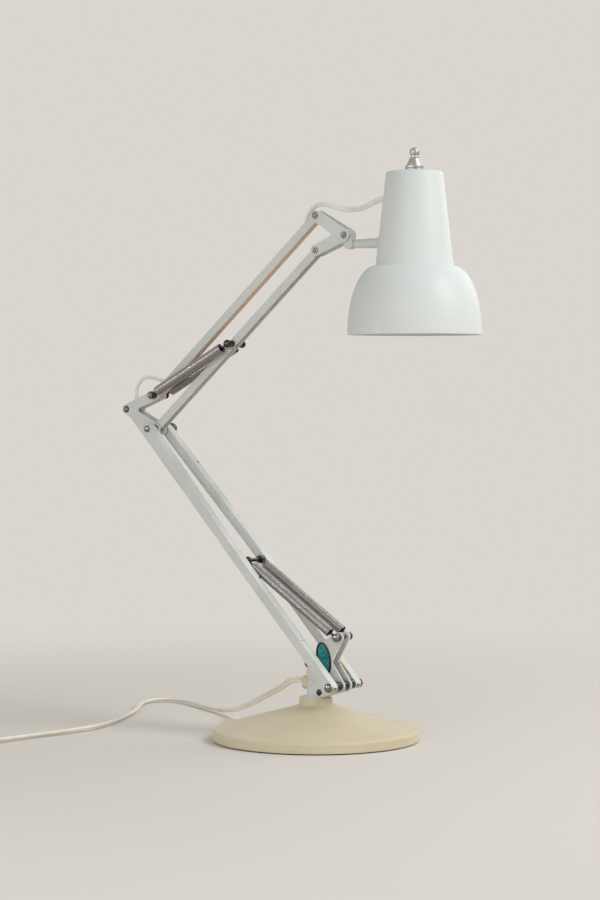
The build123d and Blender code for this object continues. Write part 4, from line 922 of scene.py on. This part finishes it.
# Folded steel: the CAD sheet merged, its long edges softened, and the downward worn ones given the rubbed
# finish, whose tan is partly a painted floor reflection
sheetLook = {
    "soft": 0.45, "softSegments": 2, "weld": 0.002, "flatAngle": 0.8, "foldAngle": 40, "smoothAngle": 50,
    "faceWeight": 100, "holeReach": 3.2,
    "facingDown": -0.25, "facingAhead": 0.2, "facingAside": 0.9,  # which way a worn face points
    "pivots": [
        (31.4, 55), (30.6, 101.8), (-4.6, 74.6), (-192.01, 300.18), (-228.01, 319.78), (-192.01, 334.18),
        (3.01, 474.92), (3.01, 508.92), (36.01, 488.72), (-73.46, 171.86), (-96.98, 385.33), (8.3, 47.4),
        (-1.2, 56.1)],
}


# Faces that look down get the rubbed finish: worn primer plus a painted reflection of a warm floor
def underEdge(face):
    return face.material_index == 1 and face.normal.z < sheetLook["facingDown"]


def bareAndReflectingUnderside(face):
    facesDown = face.normal.z < sheetLook["facingDown"] and face.normal.x > sheetLook["facingAhead"]
    return facesDown and abs(face.normal.y) < sheetLook["facingAside"]


def foldedCopy(name, nodeName, finish, rubbedAndReflecting=None):
    piece = bpy.data.objects.new(name, frame["nodes"][nodeName].data.copy())
    piece.data.materials.clear()
    piece.data.materials.append(finish)
    piece.data.materials.append(rubbedEnamelAndReflection)
    bpy.context.scene.collection.objects.link(piece)
    selectOnly(piece)
    bpy.ops.object.mode_set(mode="EDIT")
    bpy.ops.mesh.select_all(action="SELECT")
    bpy.ops.mesh.remove_doubles(threshold=sheetLook["weld"] * mm)
    bpy.ops.mesh.dissolve_limited(angle_limit=math.radians(sheetLook["flatAngle"]))
    bpy.ops.mesh.select_mode(type="EDGE")
    bpy.ops.mesh.select_all(action="DESELECT")
    bpy.ops.object.mode_set(mode="OBJECT")
    foldAngle = math.radians(sheetLook["foldAngle"])
    facesAt = {}
    for face in piece.data.polygons:
        face.material_index = 0
        for key in face.edge_keys:
            facesAt.setdefault(key, []).append(face)
    for edge in piece.data.edges:
        faces = facesAt.get(edge.key, [])
        if len(faces) != 2 or faces[0].normal.angle(faces[1].normal) < foldAngle:
            continue
        outward = (faces[1].center - faces[0].center).dot(faces[0].normal) < 0
        middle = (piece.data.vertices[edge.vertices[0]].co + piece.data.vertices[edge.vertices[1]].co) / 2
        hole = any(math.hypot(middle.x - x * mm, middle.z - z * mm) < sheetLook["holeReach"] * mm
                   for x, z in sheetLook["pivots"])
        edge.select = outward and not hole
    bpy.ops.object.mode_set(mode="EDIT")
    bpy.ops.mesh.bevel(offset=sheetLook["soft"] * mm, segments=sheetLook["softSegments"], affect="EDGES",
                       clamp_overlap=True, material=1)
    bpy.ops.object.mode_set(mode="OBJECT")
    for face in piece.data.polygons:
        face.material_index = 1 if rubbedAndReflecting and rubbedAndReflecting(face) else 0
    bpy.ops.object.shade_smooth_by_angle(angle=math.radians(sheetLook["smoothAngle"]))
    flat = piece.modifiers.new("flat", "WEIGHTED_NORMAL")
    flat.keep_sharp = True
    flat.weight = sheetLook["faceWeight"]
    bpy.ops.object.modifier_apply(modifier=flat.name)
    return piece


sheets = {
    "lowerBarFront": ("lower_bar_front", "lower_arm", None),
    "lowerBarRear": ("lower_bar_rear", "lower_arm", None),
    "lowerLink": ("lower_link", "lower_tie", None),
    "mainBar": ("main_bar", "upper_arm", bareAndReflectingUnderside),
    "tieBar": ("tie_bar", "upper_tie", bareAndReflectingUnderside),
    "elbowPlates": ("elbow_plates", "elbow", underEdge),
    "headPlates": ("head_plates", "head_bracket", underEdge),
    "baseBracket": ("base_bracket", "swivel", None),
    "tiltKnuckle": ("tilt_knuckle", "head", None),
    "stemFlange": ("stem_flange", "head", None),
}
for sheetName, (node, body, rubbedAndReflecting) in sheets.items():
    finish = scrapedEnamel if sheetName == "lowerBarRear" else armEnamel
    dress(foldedCopy(sheetName, node, finish, rubbedAndReflecting), finish, body, "arm_paint", node)
stemLook = {
    "foot": (45.9, 0, 480.2), "turn": (0, 90, 0), "steps": 40,
    "line": [(0, 0), (4.2, 0, 0.4), (4.9, 24), (4.9, 37), (0, 37)]}
stem = spinProfile("shadeStem", stemLook["line"], stemLook["steps"])
settle(stem, stemLook["foot"], stemLook["turn"])
dress(stem, armEnamel, "head", "arm_paint", "shade_stem")
for arm in ("lower", "upper"):
    hooks = foldedCopy(arm + "Hooks", arm + "_spring_hooks", blackSteel)
    dress(hooks, blackSteel, arm + "_springs", "spring_steel", arm + "_spring_hooks")
    eyes = foldedCopy(arm + "Eyes", arm + "_spring_eyes", blackSteel)
    dress(eyes, blackSteel, arm + "_spring_ends", "spring_steel", arm + "_spring_eyes")
neckGrommet = foldedCopy("neckGrommet", "neck_grommet", creamRubber)
dress(neckGrommet, creamRubber, "head", "flex", "neck_grommet")
coilTie = foldedCopy("coilTie", "coil_tie", creamRubber)
dress(coilTie, creamRubber, "swivel", "flex", "coil_tie")
plugBlades = foldedCopy("plugBlades", "plug_blades", plugBrass)
dress(plugBlades, plugBrass, "swivel", "plug_brass", "plug_blades")
print("sheet metal folded, hooks bent")


blockSmooth = 35  # degrees


# Moulded blocks: a cube at its size with rolled edges
def roundedBlock(name, size, edge, segments):
    clearBench()
    bpy.ops.mesh.primitive_cube_add(size=mm)
    piece = bpy.context.active_object
    piece.name = name
    piece.scale = size
    bpy.ops.object.transform_apply(location=True, rotation=True, scale=True)
    roll = piece.modifiers.new("roll", "BEVEL")
    roll.width = edge * mm
    roll.segments = segments
    roll.harden_normals = True
    bpy.ops.object.modifier_apply(modifier=roll.name)
    bpy.ops.object.shade_smooth_by_angle(angle=math.radians(blockSmooth))
    return piece


# Cord grommet: cream rubber with a neck that grips the bracket
grommetLook = {
    "size": (7.9, 7.9, 12.9), "middle": (-11.05, 0, 55.6), "edge": 2.8, "segments": 5,
    "neck": (3.6, 5, 10), "neckMiddle": (-5.8, 0, 55.6), "neckEdge": 0.8, "neckSegments": 3,
}
grommetNeck = roundedBlock("neck", grommetLook["neck"], grommetLook["neckEdge"], grommetLook["neckSegments"])
settle(grommetNeck, grommetLook["neckMiddle"])
grommetBody = roundedBlock("body", grommetLook["size"], grommetLook["edge"], grommetLook["segments"])
settle(grommetBody, grommetLook["middle"])
dress(joinPieces("cordGrommet", [grommetBody, grommetNeck]), creamRubber, "swivel", "flex", "cord_grommet")

# Plug: ribbed sleeve, rounded body with finger grips
plugLook = {
    "foot": (-324.6, -190.2, 10.8), "turn": -3.69, "body": (23.2, 27.9, 19.2), "edge": 4, "segments": 5,
    "bodyAlong": 34, "grip": (24, 1.6, 12), "gripEdge": 0.7, "gripSegments": 3,
    "gripsAlong": (27, 30, 33, 36), "sleeve": (3.75, 5.15), "sleeveSpan": (0.2, 20), "sleeveRibs": 5,
    "groove": 0.7, "ribRound": 0.3, "steps": 40,
}
tipRadius, endRadius = plugLook["sleeve"]
sleeveFoot, sleeveEnd = plugLook["sleeveSpan"]
ribs = 2 * plugLook["sleeveRibs"]
sleeveLine = [(0, sleeveFoot)]
for step in range(ribs + 1):
    radius = tipRadius + (endRadius - tipRadius) * step / ribs - plugLook["groove"] * (step % 2)
    sleeveLine.append((radius, sleeveFoot + (sleeveEnd - sleeveFoot) * step / ribs, plugLook["ribRound"]))
sleeve = spinProfile("sleeve", sleeveLine + [(0, sleeveEnd)], plugLook["steps"])
settle(sleeve, (0, 0, 0), alongY)
plugBody = roundedBlock("plugBody", plugLook["body"], plugLook["edge"], plugLook["segments"])
plugParts = [settle(plugBody, (0, plugLook["bodyAlong"], 0)), sleeve]
for along in plugLook["gripsAlong"]:
    grip = roundedBlock("grip", plugLook["grip"], plugLook["gripEdge"], plugLook["gripSegments"])
    plugParts.append(settle(grip, (0, along, 0)))
plug = settle(joinPieces("mainsPlug", plugParts), plugLook["foot"], (0, 0, plugLook["turn"]))
dress(plug, creamRubber, "swivel", "flex", "mains_plug")
print("grommet and plug moulded")

# Badge: plain teal oval with a black border and a fine raised lip
badgeLook = {
    "middle": (13.8, -7.0, 80.5), "width": 16.4, "height": 32.5, "lean": 12, "border": 2.1, "thick": 0.75,
    "sides": 72, "sink": 0.18, "lip": 0.15, "lipSegments": 2, "lipAngle": 40, "smoothAngle": 35,
}
clearBench()
bpy.ops.mesh.primitive_circle_add(vertices=badgeLook["sides"], radius=0.5, fill_type="NGON")
badge = bpy.context.active_object
badge.name = "ovalBadge"
badge.data.materials.append(blackEnamel)
badge.data.materials.append(tealEnamel)
badge.scale = (badgeLook["width"] * mm, badgeLook["height"] * mm, 1)
settle(badge, (0, 0, 0))
bpy.ops.object.mode_set(mode="EDIT")
bpy.ops.mesh.select_all(action="SELECT")
bpy.ops.mesh.extrude_region_move(TRANSFORM_OT_translate={"value": (0, 0, badgeLook["thick"] * mm)})
bpy.ops.mesh.inset(thickness=badgeLook["border"] * mm, depth=-badgeLook["sink"] * mm)
bpy.ops.object.mode_set(mode="OBJECT")
for face in badge.data.polygons:
    face.material_index = 1 if face.select else 0
faceOutward()
lip = badge.modifiers.new("lip", "BEVEL")
lip.width = badgeLook["lip"] * mm
lip.segments = badgeLook["lipSegments"]
lip.angle_limit = math.radians(badgeLook["lipAngle"])
bpy.ops.object.modifier_apply(modifier=lip.name)
bpy.ops.object.shade_smooth_by_angle(angle=math.radians(badgeLook["smoothAngle"]))
settle(badge, (0, 0, 0), (0, 0, badgeLook["lean"]))
settle(badge, badgeLook["middle"], (90, 0, 0))
dress(badge, blackEnamel, "swivel", "badge", "oval_badge")
print("badge made, left plain")

# Everything that stays a CAD solid gets its finish by slot
finishes = {
    "iron": castIron, "pad": footFelt, "steel": turnedSteel, "dark_steel": blackSteel, "chrome": wornNickel,
    "flex": creamRubber, "holder": blackPhenolic, "spring_steel": blackSteel, "plug_brass": plugBrass,
    "arm_paint": armEnamel, "shade_paint": shadeEnamel, "cover_paint": ivoryEnamel, "badge": blackEnamel,
    "bulb": bulbGlass, "bulb_metal": capAluminium,
}
for part in frame["record"]["subparts"]:
    node = frame["nodes"][part["node"]]
    node.data.materials.clear()
    node.data.materials.append(finishes[part["material_slot"]])
frame["nodes"]["swivel_washer"].data.materials[0] = armEnamel

# Cords: the mains lead lies free, the others ride in the arms
dress(mainsLead, flexPvc, "swivel", "flex", "mains_cord", "mains_coil")
dress(lowerLead, flexPvc, "lower_tie", "flex", "lower_lead")
dress(upperLead, flexPvc, "upper_tie", "flex", "upper_lead")
dress(elbowLoop, flexPvc, None, "flex", "elbow_cord_loop")
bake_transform(elbowLoop)
dress(headLoop, flexPvc, None, "flex", "head_cord_loop")
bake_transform(headLoop)
dress(headReach, flexPvc, None, "flex")
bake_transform(headReach)
print("cords dressed")

# Floor: pale matt paper that keeps the shadow near the lamp and melts into the paper behind, so no edge shows
floorLook = {"radius": 60000, "near": 260, "far": 1150, "sides": 96, "roughness": 0.9}
clearBench()
bpy.ops.mesh.primitive_circle_add(
    vertices=floorLook["sides"], radius=floorLook["radius"] * mm, fill_type="NGON")
floor = bpy.context.active_object
floor.name = "studioFloor"
floorPaper, floorTree, floorShader, floorPlace = startMaterial("studioPaper", {
    "Roughness": floorLook["roughness"], "Base Color": linear(studio["floor"])})
away = addNode(floorTree, "ShaderNodeVectorMath", {"operation": "LENGTH"}, {0: floorPlace})
fade = addNode(floorTree, "ShaderNodeMapRange", {
    "interpolation_type": "SMOOTHSTEP", "From Min": floorLook["near"] * mm,
    "From Max": floorLook["far"] * mm}, {"Value": away.outputs["Value"]})
melt = addNode(floorTree, "ShaderNodeMath", {"operation": "MULTIPLY"},
               {0: fade.outputs["Result"], 1: seenRays(floorTree)})
glow = addNode(floorTree, "ShaderNodeEmission", {"Color": linear(studio["paper"])})
floorMix = addNode(floorTree, "ShaderNodeMixShader", {},
                   {0: melt.outputs[0], 1: floorShader.outputs[0], 2: glow.outputs[0]})
floorTree.links.new(floorMix.outputs[0], floorTree.nodes["Material Output"].inputs["Surface"])
floor.data.materials.append(floorPaper)
